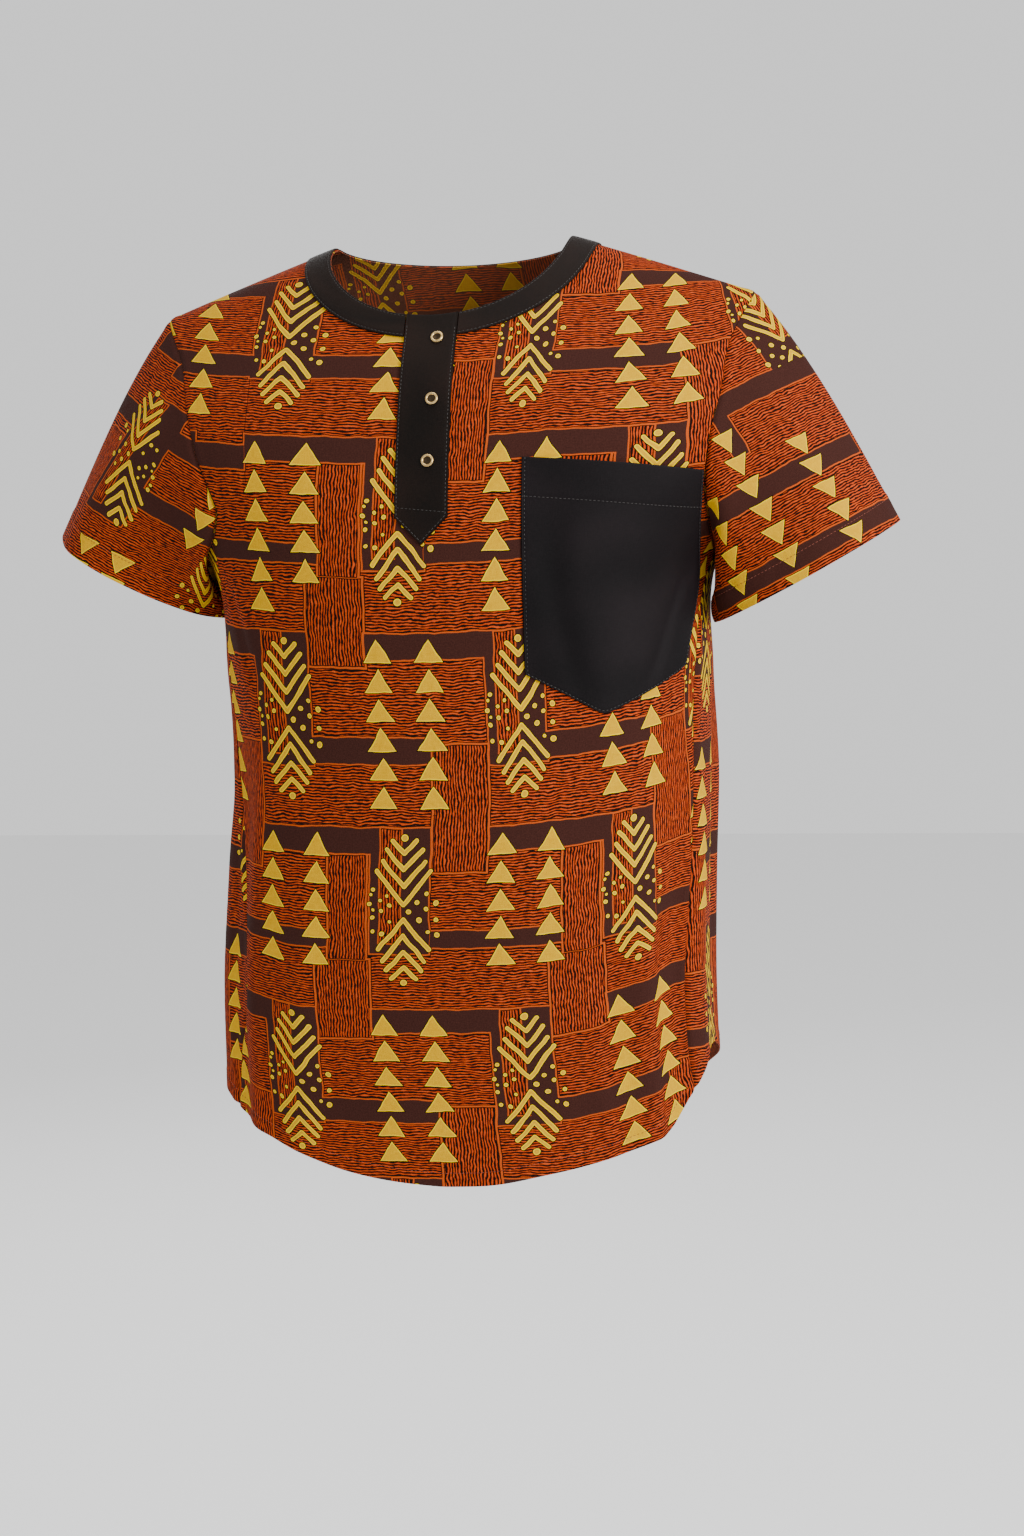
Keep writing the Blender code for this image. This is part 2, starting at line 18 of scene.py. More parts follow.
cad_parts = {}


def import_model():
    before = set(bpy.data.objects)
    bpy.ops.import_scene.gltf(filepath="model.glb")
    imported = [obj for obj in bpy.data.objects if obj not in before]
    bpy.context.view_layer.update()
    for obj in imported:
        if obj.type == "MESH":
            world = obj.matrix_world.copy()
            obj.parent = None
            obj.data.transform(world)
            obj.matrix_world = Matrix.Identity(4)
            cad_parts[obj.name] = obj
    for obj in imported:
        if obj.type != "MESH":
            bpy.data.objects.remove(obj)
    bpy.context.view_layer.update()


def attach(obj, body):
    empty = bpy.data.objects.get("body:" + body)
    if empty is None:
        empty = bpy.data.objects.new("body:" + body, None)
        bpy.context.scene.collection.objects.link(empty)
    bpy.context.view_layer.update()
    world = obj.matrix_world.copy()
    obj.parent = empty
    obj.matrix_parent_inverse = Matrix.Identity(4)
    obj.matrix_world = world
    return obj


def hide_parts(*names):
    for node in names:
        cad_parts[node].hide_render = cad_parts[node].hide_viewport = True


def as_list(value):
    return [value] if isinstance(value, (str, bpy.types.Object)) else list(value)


LOG = logging.getLogger("print_shirt")
BODY = "root"
MM = 0.001
CUT_MAP = "cut"             # the UV map that holds each piece's flat cut, in metres
SHARP_ANGLE = 50.0          # degrees between two faces past which their edge is sharp

Line = tuple[np.ndarray, np.ndarray]    # points on the cloth's face, and outward directions


def ramp(value: np.ndarray, start: float, end: float) -> np.ndarray:
    """0 before start and 1 after end, with a smooth rise between."""
    t = np.clip((value - start) / (end - start), 0.0, 1.0)
    return t * t * (3.0 - 2.0 * t)


def hump(value: np.ndarray, centre: float, width: float) -> np.ndarray:
    """A soft hump, 1 at its centre and a third at one width to each side."""
    return np.exp(-((value - centre) / width) ** 2)


def unit(vectors: np.ndarray) -> np.ndarray:
    """Vectors of length one in the same directions."""
    return vectors / np.linalg.norm(vectors, axis=-1, keepdims=True)


def crowded(count: int, evenness: float) -> np.ndarray:
    """Steps from -1 to 1, closer together near both ends: even steps mixed with a sine."""
    even = np.linspace(-1.0, 1.0, count + 1)
    return even * evenness + np.sin(even * np.pi / 2) * (1 - evenness)


def cubic(t: np.ndarray, start: np.ndarray, leave: np.ndarray, end: np.ndarray,
          arrive: np.ndarray) -> np.ndarray:
    """Curve from start, at t = 0, to end, at t = 1, with the slopes leave and arrive there."""
    return ((2 * t**3 - 3 * t**2 + 1) * start + (t**3 - 2 * t**2 + t) * leave
            + (3 * t**2 - 2 * t**3) * end + (t**3 - t**2) * arrive)


def smooth_table(height: np.ndarray, rows: tuple, column: int) -> np.ndarray:
    """Read one column of a table on a smooth curve through its rows.

    Args:
        height: where to read it. The table's first column holds falling heights.
        rows: the table.
        column: which column to read.

    Returns:
        The value at each height: a cubic through each pair of rows, with the table's own slopes.
    """
    knots = np.array([row[0] for row in rows])[::-1]
    values = np.array([row[column] for row in rows])[::-1]
    slopes = np.gradient(values, knots)
    z = np.clip(height, knots[0], knots[-1])
    low = np.clip(np.searchsorted(knots, z, side="right") - 1, 0, len(knots) - 2)
    span = knots[low + 1] - knots[low]
    return cubic((z - knots[low]) / span, values[low], span * slopes[low],
                 values[low + 1], span * slopes[low + 1])


class Level(NamedTuple):
    """One level section of the worn shirt."""

    height: float
    half_width: float
    front_depth: float
    back_depth: float
    sway: float


class Fold(NamedTuple):
    """A soft rib or trough down the body: side +1 for the wearer's left, angles in degrees."""

    side: int
    top_angle: float
    low_angle: float
    top: float
    low: float
    width: float
    rise: float


class Edge(NamedTuple):
    """Where a panel's side edge lies at a height, as degrees round the section."""

    height: float
    left: float
    right: float


class HemPoint(NamedTuple):
    """Height of the hem at an angle round the section."""

    angle: float
    left: float
    right: float


@dataclass(frozen=True)
class WornForm:
    """The shirt's worn shape: level sections under a sloping shoulder line, with soft folds."""

    levels: tuple[Level, ...] = (
        Level(0.020, 0.2450, 0.070, 0.090, 0.0),
        Level(-0.056, 0.2450, 0.083, 0.101, 0.0),
        Level(-0.120, 0.2450, 0.109, 0.118, 0.0),
        Level(-0.160, 0.2360, 0.122, 0.126, 0.0),
        Level(-0.200, 0.2110, 0.131, 0.130, 0.0),
        Level(-0.240, 0.1905, 0.135, 0.130, 0.0),
        Level(-0.320, 0.1835, 0.133, 0.126, 0.0008),
        Level(-0.400, 0.1820, 0.130, 0.124, 0.0020),
        Level(-0.470, 0.1840, 0.126, 0.126, -0.0030),
        Level(-0.550, 0.1870, 0.115, 0.132, -0.0085),
        Level(-0.640, 0.1890, 0.103, 0.138, -0.0095),
        Level(-0.720, 0.1900, 0.099, 0.141, -0.0095),
    )
    folds: tuple[Fold, ...] = (
        Fold(+1, 50.0, 53.0, -0.420, -0.680, 6.5, 0.0045),
        Fold(+1, 64.0, 63.0, -0.400, -0.690, 6.0, -0.0045),
        Fold(+1, 76.0, 77.0, -0.350, -0.690, 7.0, 0.0045),
        Fold(+1, 14.0, 46.0, -0.240, -0.620, 13.0, -0.0025),
        Fold(-1, 46.0, 50.0, -0.330, -0.660, 7.0, 0.0040),
        Fold(-1, 60.0, 58.0, -0.360, -0.680, 6.0, -0.0035),
        Fold(-1, 74.0, 80.0, -0.330, -0.690, 7.0, 0.0045),
        Fold(-1, 56.0, 36.0, -0.200, -0.420, 10.0, 0.0030),
        Fold(+1, 103.0, 106.0, -0.260, -0.690, 8.0, 0.0050),
        Fold(-1, 103.0, 108.0, -0.260, -0.690, 8.0, 0.0045),
        Fold(+1, 132.0, 140.0, -0.200, -0.690, 9.0, 0.0050),
        Fold(-1, 128.0, 138.0, -0.230, -0.690, 9.0, 0.0055),
        Fold(+1, 163.0, 158.0, -0.330, -0.690, 8.0, 0.0045),
        Fold(-1, 166.0, 158.0, -0.350, -0.690, 8.0, 0.0040),
    )
    creases: tuple[Fold, ...] = (
        Fold(+1, 70.0, 52.0, -0.235, -0.330, 3.0, -0.0022),
        Fold(+1, 82.0, 74.0, -0.235, -0.420, 3.0, 0.0014),
        Fold(+1, 30.0, 38.0, -0.430, -0.690, 4.0, 0.0018),
        Fold(+1, 57.0, 58.0, -0.440, -0.690, 2.6, -0.0026),
        Fold(+1, 20.0, 33.0, -0.165, -0.345, 4.0, -0.0016),
        Fold(-1, 62.0, 44.0, -0.225, -0.330, 3.0, -0.0024),
        Fold(-1, 80.0, 70.0, -0.235, -0.430, 3.0, 0.0014),
        Fold(-1, 28.0, 33.0, -0.450, -0.690, 4.0, 0.0018),
        Fold(-1, 67.0, 66.0, -0.400, -0.690, 2.6, -0.0024),
        Fold(+1, 112.0, 130.0, -0.230, -0.400, 4.0, -0.0030),
        Fold(-1, 112.0, 128.0, -0.230, -0.420, 4.0, -0.0030),
        Fold(+1, 120.0, 145.0, -0.200, -0.380, 4.5, 0.0024),
        Fold(-1, 120.0, 142.0, -0.200, -0.360, 4.5, 0.0024),
        Fold(+1, 148.0, 150.0, -0.420, -0.700, 4.5, -0.0028),
        Fold(-1, 150.0, 147.0, -0.440, -0.700, 4.5, -0.0028),
        Fold(+1, 176.0, 172.0, -0.120, -0.360, 6.0, 0.0020),
        Fold(+1, 92.0, 96.0, -0.300, -0.620, 3.6, -0.0024),
        Fold(-1, 92.0, 97.0, -0.300, -0.640, 3.6, -0.0024),
    )
    neck_half: float = 0.090
    shoulder_half: float = 0.2247
    shoulder_slope: float = 0.36
    shoulder_round: float = 0.050
    roll_over: float = 0.130
    roundness: float = 2.3
    side_radius: float = 0.12
    fold_fade: float = 0.35
    crease_end: float = 0.75
    crease_fade: float = 0.8
    measure_steps: int = 28
    probe: float = 0.0006
    on_ridge: float = 0.00001

    def ridge(self, x: np.ndarray) -> np.ndarray:
        """Height of the shoulder line: a slope that rounds over the neck."""
        reach = np.sqrt(x * x + self.shoulder_round**2)
        return self.shoulder_slope * (math.hypot(self.neck_half, self.shoulder_round) - reach)

    def tip_height(self) -> float:
        """Height of the shoulder tips."""
        return float(self.ridge(np.array(self.shoulder_half)))

    def fold_rise(self, angle: np.ndarray, height: np.ndarray) -> np.ndarray:
        """Sum of the folds: each is a bell across its line and fades in from its top.

        Args:
            angle: round the section.
            height: the level.

        Returns:
            How far the folds lift the cloth, below 0 in a trough.
        """
        total = np.zeros(np.broadcast(angle, height).shape)
        for fold in self.folds + self.creases:
            down = np.clip((fold.top - height) / (fold.top - fold.low), 0.0, 1.0)
            centre = np.radians(fold.top_angle + (fold.low_angle - fold.top_angle) * down)
            fade = ramp(down, 0.0, self.fold_fade)
            if fold in self.creases:
                fade = fade * (1 - self.crease_fade * ramp(down, self.crease_end, 1.0))
            bell = hump(angle, centre * fold.side, np.radians(fold.width))
            total = total + fold.rise * fade * bell
        return total

    def bare(self, angle: np.ndarray, height: np.ndarray) -> np.ndarray:
        """The form without folds.

        Each level is a rounded box between a circle and a square, and closer than roll_over to
        the shoulder line its depth shrinks on a quarter circle.

        Args:
            angle: round the section, 0 at centre front and pi at centre back.
            height: the level.

        Returns:
            Points, with x, y and z last.
        """
        power = 2.0 / self.roundness
        half = smooth_table(height, self.levels, 1)
        front = smooth_table(height, self.levels, 2)
        back = smooth_table(height, self.levels, 3)
        sway = smooth_table(height, self.levels, 4)
        x = np.sign(np.sin(angle)) * half * np.abs(np.sin(angle))**power + sway
        fall = np.clip(self.ridge(x) - height, 0.0, self.roll_over)
        turn = np.sqrt(1.0 - (1.0 - fall / self.roll_over)**2)
        depth = np.where(np.cos(angle) > 0, -front, back) * np.abs(np.cos(angle))**power
        return np.stack([x, depth * turn, height + 0.0 * x], axis=-1)

    def normal(self, angle: np.ndarray, height: np.ndarray) -> np.ndarray:
        """Outward direction of the form: across its slopes, and up from the shoulder line.

        Args:
            angle: round the section.
            height: the level.

        Returns:
            Directions of length one.
        """
        step = self.probe
        turn = step / self.side_radius
        across = self.bare(angle + turn, height) - self.bare(angle - turn, height)
        down = self.bare(angle, height - step) - self.bare(angle, height + step)
        normal = np.cross(across, -down)
        x = self.bare(angle, height)[..., 0]
        slope = (self.ridge(x + step) - self.ridge(x - step)) / (2 * step)
        upright = np.stack([-slope, 0.0 * slope, 1.0 + 0.0 * slope], axis=-1)
        touches = (self.ridge(x) - height < self.on_ridge)[..., None]
        return unit(np.where(touches, upright, normal))

    def skin(self, angle: np.ndarray, height: np.ndarray,
             out: np.ndarray | float = 0.0) -> np.ndarray:
        """Points of the cloth's outer face, folds and all, moved out along the normal."""
        lift = self.fold_rise(angle, height) + out
        return self.bare(angle, height) + self.normal(angle, height) * lift[..., None]

    def angle_at(self, x: np.ndarray, height: np.ndarray) -> np.ndarray:
        """Angle of a point of the front: the rounded box's formula, turned round.

        Args:
            x: its distance from centre front.
            height: its level.

        Returns:
            The angle round the section.
        """
        half = smooth_table(height, self.levels, 1)
        across = x - smooth_table(height, self.levels, 4)
        share = np.clip(np.abs(across) / half, 0.0, 1.0)**(self.roundness / 2.0)
        return np.sign(across) * np.arcsin(share)

    def girth_to(self, angle: np.ndarray, height: np.ndarray, start: float) -> np.ndarray:
        """Cloth from a starting angle to each point, along its level: the sum of short chords.

        Args:
            angle: the points' angles.
            height: the points' levels.
            start: the angle to measure from.

        Returns:
            Lengths, below 0 on the other side of the start.
        """
        share = np.linspace(0.0, 1.0, self.measure_steps + 1).reshape(-1, 1, 1)
        walk = self.bare(start + (angle - start) * share, height + 0.0 * share)
        chords = np.linalg.norm(np.diff(walk, axis=0), axis=-1).sum(axis=0)
        return chords * np.sign(angle - start)

    def drop_to(self, angle: np.ndarray, height: np.ndarray, start: float) -> np.ndarray:
        """Cloth from a starting level down to each point, by depth and height alone.

        Args:
            angle: the points' angles.
            height: the points' levels.
            start: the level to measure from.

        Returns:
            Lengths, below 0 over the start.
        """
        share = np.linspace(0.0, 1.0, self.measure_steps + 1).reshape(-1, 1, 1)
        walk = self.bare(angle + 0.0 * share, start + (height - start) * share)
        chords = np.linalg.norm(np.diff(walk[..., 1:], axis=0), axis=-1).sum(axis=0)
        return chords * np.sign(start - height)


class Side(Enum):
    """Which half of the shirt, as the sign of its x."""

    LEFT = 1
    RIGHT = -1


class Face(Enum):
    """Which panel of the body."""

    FRONT = "front"
    BACK = "back"


def facing_out(points: np.ndarray, faces: np.ndarray) -> np.ndarray:
    """Faces of a closed wall, turned round if the volume that they enclose is below 0."""
    first, second, third, fourth = (points[faces[:, corner]] for corner in range(4))
    volume = (first * (np.cross(second, third) + np.cross(third, fourth))).sum()
    return faces[:, ::-1] if volume < 0 else faces


def finished(name: str, points: np.ndarray, faces: list[list[int]]) -> bpy.types.Object:
    """Object that is smooth but for its sharp rims and rides on the shirt's one body.

    Args:
        name: the object's name.
        points: one row for each corner of the mesh.
        faces: the corners of each face.

    Returns:
        The object, in the scene.
    """
    mesh = bpy.data.meshes.new(name)
    mesh.from_pydata(points.tolist(), [], faces)
    mesh.shade_smooth()
    mesh.set_sharp_from_angle(angle=math.radians(SHARP_ANGLE))
    piece = bpy.data.objects.new(name, mesh)
    bpy.context.scene.collection.objects.link(piece)
    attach(piece, BODY)
    return piece


def dressed(piece: bpy.types.Object, node: str, right: "Finish",
            wrong: "Finish") -> bpy.types.Object:
    """Give a wall its finishes and hide the solid that it replaces.

    Args:
        piece: the wall.
        node: the solid that it replaces.
        right: the finish of the right side.
        wrong: the finish of the wrong side and the rims.

    Returns:
        The same wall.
    """
    for finish in (right, wrong):
        piece.data.materials.append(finish.material())
    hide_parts(node)
    return piece


def shell(name: str, outer: np.ndarray, inner: np.ndarray, cut: np.ndarray,
          keep: np.ndarray | None = None) -> bpy.types.Object:
    """Closed thin wall between two grids of points, with a rim along every open edge.

    Args:
        name: the piece's name.
        outer: points of the right side, rows by columns.
        inner: the matching points of the wrong side.
        cut: flat coordinates of each point, in metres, for the UV map.
        keep: which cells are cloth. All of them if left out.

    Returns:
        The object. Faces of the right side have material index 0 and all others 1.
    """
    rows, columns = outer.shape[:2]
    index = np.arange(rows * columns).reshape(rows, columns)
    cells = np.stack([index[:-1, :-1], index[1:, :-1], index[1:, 1:], index[:-1, 1:]], axis=-1)
    front = cells.reshape(-1, 4) if keep is None else cells[keep]
    shift = rows * columns
    starts = front.ravel()
    ends = np.roll(front, -1, axis=1).ravel()
    keys = np.minimum(starts, ends) * shift + np.maximum(starts, ends)
    _, where, count = np.unique(keys, return_index=True, return_counts=True)
    rim = where[count == 1]
    a, b = starts[rim], ends[rim]
    faces = np.concatenate([front, front[:, ::-1] + shift, np.stack([b, a, a + shift, b + shift], 1)])
    points = np.concatenate([outer.reshape(-1, 3), inner.reshape(-1, 3)])
    faces = facing_out(points, faces)
    used, new = np.unique(faces, return_inverse=True)
    piece = finished(name, points[used], new.reshape(faces.shape).tolist())
    flat = np.concatenate([cut.reshape(-1, 2)] * 2)[faces.ravel()]
    piece.data.uv_layers.new(name=CUT_MAP)
    piece.data.uv_layers[CUT_MAP].data.foreach_set("uv", flat.astype(np.float32).ravel())
    slots = (np.arange(len(faces)) >= len(front)).astype(np.int32)
    piece.data.polygons.foreach_set("material_index", slots)
    return piece


def along_columns(points: np.ndarray) -> np.ndarray:
    """Distance of each point from its column's first point, walked down the column."""
    steps = np.linalg.norm(np.diff(points, axis=0), axis=-1)
    return np.concatenate([np.zeros((1, points.shape[1])), np.cumsum(steps, axis=0)])


def along_rows(points: np.ndarray) -> np.ndarray:
    """Distance of each point from its row's first point, walked along the row."""
    return along_columns(points.swapaxes(0, 1)).T


def along_path(points: np.ndarray) -> np.ndarray:
    """Distance of each point of one path from its first point, walked along it."""
    return along_columns(points[:, None])[:, 0]


def contour(values: np.ndarray, distance: np.ndarray, level: float) -> np.ndarray:
    """One value for each column, read where a falling distance passes a level.

    Args:
        values: points or directions on a grid.
        distance: falls down each column.
        level: where to read.

    Returns:
        Values on the straight line between the two rows around the level.
    """
    low = np.clip((distance > level).sum(axis=0), 1, distance.shape[0] - 1)
    column = np.arange(distance.shape[1])
    above, below = distance[low - 1, column], distance[low, column]
    t = ((above - level) / (above - below + 1e-12))[:, None]
    return values[low - 1, column] * (1 - t) + values[low, column] * t


def line_at(outer: np.ndarray, outward: np.ndarray, distance: np.ndarray, level: float) -> Line:
    """Line on a face, with its outward directions, where a falling distance passes a level."""
    return contour(outer, distance, level), unit(contour(outward, distance, level))


@dataclass(frozen=True)
class Thread:
    """Sewing thread that shows as a row of short stitches, each a thin bent rod."""

    pitch: float = 3.0 * MM
    length: float = 2.3 * MM
    radius: float = 0.21 * MM
    proud: float = 0.16 * MM
    thin_end: float = 0.45
    rings: int = 5
    sides: int = 6

    def sew(self, name: str, lines: list[Line], finish: "Finish") -> bpy.types.Object:
        """Make one object of all the stitches along some lines.

        Each rod follows its line, and its height over the cloth is half a sine wave, so that
        both ends dive in.

        Args:
            name: the object's name.
            lines: pairs of points on the cloth's face and outward directions.
            finish: the thread's material.

        Returns:
            The object.
        """
        points, faces = [], []
        for path, outward in lines:
            made, rods = self.rods(path, outward)
            faces.append(rods + sum(len(block) for block in points))
            points.append(made)
        piece = finished(name, np.concatenate(points), np.concatenate(faces).tolist())
        piece.data.materials.append(finish.material())
        return piece

    def rods(self, path: np.ndarray, outward: np.ndarray) -> tuple[np.ndarray, np.ndarray]:
        """Stitches along one line, each a six-sided rod that is thinner at its ends.

        Args:
            path: points on the cloth's face.
            outward: the outward direction at each point.

        Returns:
            Points, and faces of four corners each.
        """
        walked = along_path(path)
        count = max(int((walked[-1] - self.length) / self.pitch) + 1, 1)
        t = np.linspace(0.0, 1.0, self.rings)
        spot = np.arange(count)[:, None] * self.pitch + t * self.length
        spine, up = (np.stack([np.interp(spot, walked, column) for column in values.T], axis=-1)
                     for values in (path, outward))
        up = unit(up)
        ahead = unit(np.gradient(spine, axis=1))
        sideways = np.cross(ahead, up)
        arch = np.sin(np.pi * t)
        spine = spine + up * ((self.proud + self.radius) * arch - self.radius)[None, :, None]
        turn = np.arange(self.sides) * 2 * np.pi / self.sides
        girth = self.thin_end + (1 - self.thin_end) * np.sqrt(arch)
        ring = (up[:, :, None] * np.cos(turn)[None, None, :, None]
                + sideways[:, :, None] * np.sin(turn)[None, None, :, None])
        points = spine[:, :, None] + ring * (self.radius * girth)[None, :, None, None]
        index = np.arange(count * self.rings * self.sides).reshape(count, self.rings, self.sides)
        beside = np.roll(index, -1, axis=2)
        walls = np.stack([index[:, :-1], index[:, 1:], beside[:, 1:], beside[:, :-1]], axis=-1)
        ends = []
        for row, order in ((0, (0, 1, 2, 3)), (self.rings - 1, (3, 2, 1, 0))):
            first = index[:, row]
            ends.append(first[:, order])
            ends.append(first[:, [(corner + 3) % self.sides for corner in order]])
        return points.reshape(-1, 3), np.concatenate([walls.reshape(-1, 4)] + ends)


Value = Union["Wire", float, tuple]


class Wire:
    """The result of a shader node, which takes part in sums as a number does."""

    def __init__(self, graph: "Graph", socket: bpy.types.NodeSocket) -> None:
        """Keep the socket and the graph that it belongs to."""
        self.graph = graph
        self.socket = socket

    def __add__(self, other: Value) -> "Wire":
        """Sum."""
        return self.graph.number("ADD", self, other)

    def __sub__(self, other: Value) -> "Wire":
        """Difference."""
        return self.graph.number("SUBTRACT", self, other)

    def __mul__(self, other: Value) -> "Wire":
        """Product."""
        return self.graph.number("MULTIPLY", self, other)

    def __abs__(self) -> "Wire":
        """Size without its sign."""
        return self.graph.number("ABSOLUTE", self)

    def below(self, other: Value) -> "Wire":
        """1 where this is less than the other, 0 elsewhere."""
        return self.graph.number("LESS_THAN", self, other)

    def least(self, other: Value) -> "Wire":
        """The smaller of the two."""
        return self.graph.number("MINIMUM", self, other)

    def most(self, other: Value) -> "Wire":
        """The larger of the two."""
        return self.graph.number("MAXIMUM", self, other)

    def wrapped(self, high: float, low: float) -> "Wire":
        """The value moved by whole spans until it lies from low to high."""
        return self.graph.number("WRAP", self, high, low)

    def held(self) -> "Wire":
        """The value kept from 0 to 1."""
        return self.graph.number("ADD", self, 0.0, clamp=True)

    def rest(self) -> "Wire":
        """What is left of 1."""
        return self.graph.number("SUBTRACT", 1.0, self)


class Graph:
    """Lays shader nodes in a tree: each call makes one node and gives its result."""

    def __init__(self, tree: bpy.types.NodeTree) -> None:
        """Work in a node tree."""
        self.tree = tree

    def node(self, kind: str, inputs: tuple["Value", ...] = (), **settings: object) -> bpy.types.Node:
        """Make a node.

        Args:
            kind: its type, without the word that all shader nodes start with.
            inputs: what feeds its first inputs.
            **settings: its other properties.

        Returns:
            The node.
        """
        made = self.tree.nodes.new("ShaderNode" + kind)
        for setting, value in settings.items():
            setattr(made, setting, value)
        for socket, value in zip(made.inputs, inputs):
            self.feed(socket, value)
        return made

    def feed(self, socket: bpy.types.NodeSocket, value: Value) -> None:
        """Link a wire to a socket, or set the socket to a constant.

        Args:
            socket: the input.
            value: a wire, or the constant.
        """
        if isinstance(value, Wire):
            self.tree.links.new(value.socket, socket)
        else:
            socket.default_value = value

    def feeds(self, node: bpy.types.Node, values: dict[str, Value]) -> None:
        """Feed some of a node's inputs by their names."""
        for name, value in values.items():
            self.feed(node.inputs[name], value)

    def number(self, operation: str, *values: Value, clamp: bool = False) -> Wire:
        """Result of a Math node."""
        return Wire(self, self.node("Math", values, operation=operation, use_clamp=clamp).outputs[0])

    def vector(self, operation: str, *values: Value) -> Wire:
        """Result of a Vector Math node that gives a vector."""
        return Wire(self, self.node("VectorMath", values, operation=operation).outputs[0])

    def measure(self, operation: str, *values: Value) -> Wire:
        """Result of a Vector Math node that gives a number."""
        return Wire(self, self.node("VectorMath", values, operation=operation).outputs[1])

    def scaled(self, vector: Value, factor: Value) -> Wire:
        """Vector or colour times a number."""
        made = self.node("VectorMath", (vector,), operation="SCALE")
        self.feed(made.inputs["Scale"], factor)
        return Wire(self, made.outputs[0])

    def joined(self, x: Value, y: Value) -> Wire:
        """Vector of two numbers."""
        return Wire(self, self.node("CombineXYZ", (x, y)).outputs[0])

    def parts(self, vector: Wire) -> tuple[Wire, Wire]:
        """First two numbers of a vector."""
        made = self.node("SeparateXYZ", (vector,))
        return Wire(self, made.outputs[0]), Wire(self, made.outputs[1])

    def noise(self, vector: Wire, scale: float, detail: float = 2.0, reads: str = "2D") -> Wire:
        """Soft random field from 0 to 1.

        Args:
            vector: where to read it.
            scale: how many of its waves fit in one unit.
            detail: how many finer layers it has.
            reads: how many coordinates it reads.

        Returns:
            The field.
        """
        made = self.node("TexNoise", noise_dimensions=reads)
        self.feeds(made, {"Vector": vector, "Scale": scale, "Detail": detail})
        return Wire(self, made.outputs[0])

    def grain(self, scale: float) -> Wire:
        """Soft random field on the object's own coordinates."""
        source = self.node("TexCoord").outputs["Object"]
        return self.noise(Wire(self, source), scale, reads="3D")

    def cut(self) -> Wire:
        """Flat coordinates of the piece, from its UV map."""
        return Wire(self, self.node("UVMap", uv_map=CUT_MAP).outputs[0])

    def mixed(self, share: Value, start: Value, end: Value) -> Wire:
        """Colour between two others."""
        made = self.node("Mix", (share,), data_type="RGBA")
        for place, colour in ((6, start), (7, end)):
            self.feed(made.inputs[place], colour)
        return Wire(self, made.outputs[2])


def nearest(distances: list[Wire]) -> Wire:
    """The least of several distances."""
    return reduce(Wire.least, distances)


def paint(code: str) -> tuple[float, float, float, float]:
    """Scene colour of a screen colour written as six hex digits, by the usual screen curve."""
    parts = [int(code[place:place + 2], 16) / 255 for place in (0, 2, 4)]
    linear = [part / 12.92 if part <= 0.04045 else ((part + 0.055) / 1.055)**2.4 for part in parts]
    return (*linear, 1.0)


class Stroke(NamedTuple):
    """One arrowhead of the lozenge: its tip, and how far its arms reach, in millimetres."""

    tip: float
    half_width: float
    reach: float


class Dot(NamedTuple):
    """A painted dot: right, down and radius in millimetres from the lozenge's centre."""

    right: float
    down: float
    radius: float


class Rows(Enum):
    """Which rows have a mark, as its first row and the rows from each to the next.

    Marks in ALL rows stand half a repeat to the side of those in the row above. A mark that is
    there ONCE doesn't repeat.
    """

    ONCE = (0, 0)
    ALL = (0, 1)
    EVEN = (0, 2)
    ODD = (1, 2)
    FOURTH = (0, 4)


class Block(NamedTuple):
    """A rectangle of the print in millimetres from the lozenge's centre."""

    left: float
    top: float
    right: float
    bottom: float
    rows: Rows = Rows.ALL


class Column(NamedTuple):
    """A column of triangles: its middle, its first tip, both in millimetres, and how many."""

    right: float
    top: float
    count: int
    rows: Rows = Rows.EVEN


class Lozenge(NamedTuple):
    """Where a lozenge's waist is, in millimetres, and how far it leans."""

    right: float
    down: float
    rows: Rows = Rows.EVEN
    lean: float = 0.0


def blocks(rows: Rows, *sides: tuple[float, float, float, float]) -> tuple[Block, ...]:
    """Rectangles that share their rows."""
    return tuple(Block(*side, rows) for side in sides)


class Spot(NamedTuple):
    """Flat coordinates in a graph, across and down."""

    u: Wire
    v: Wire


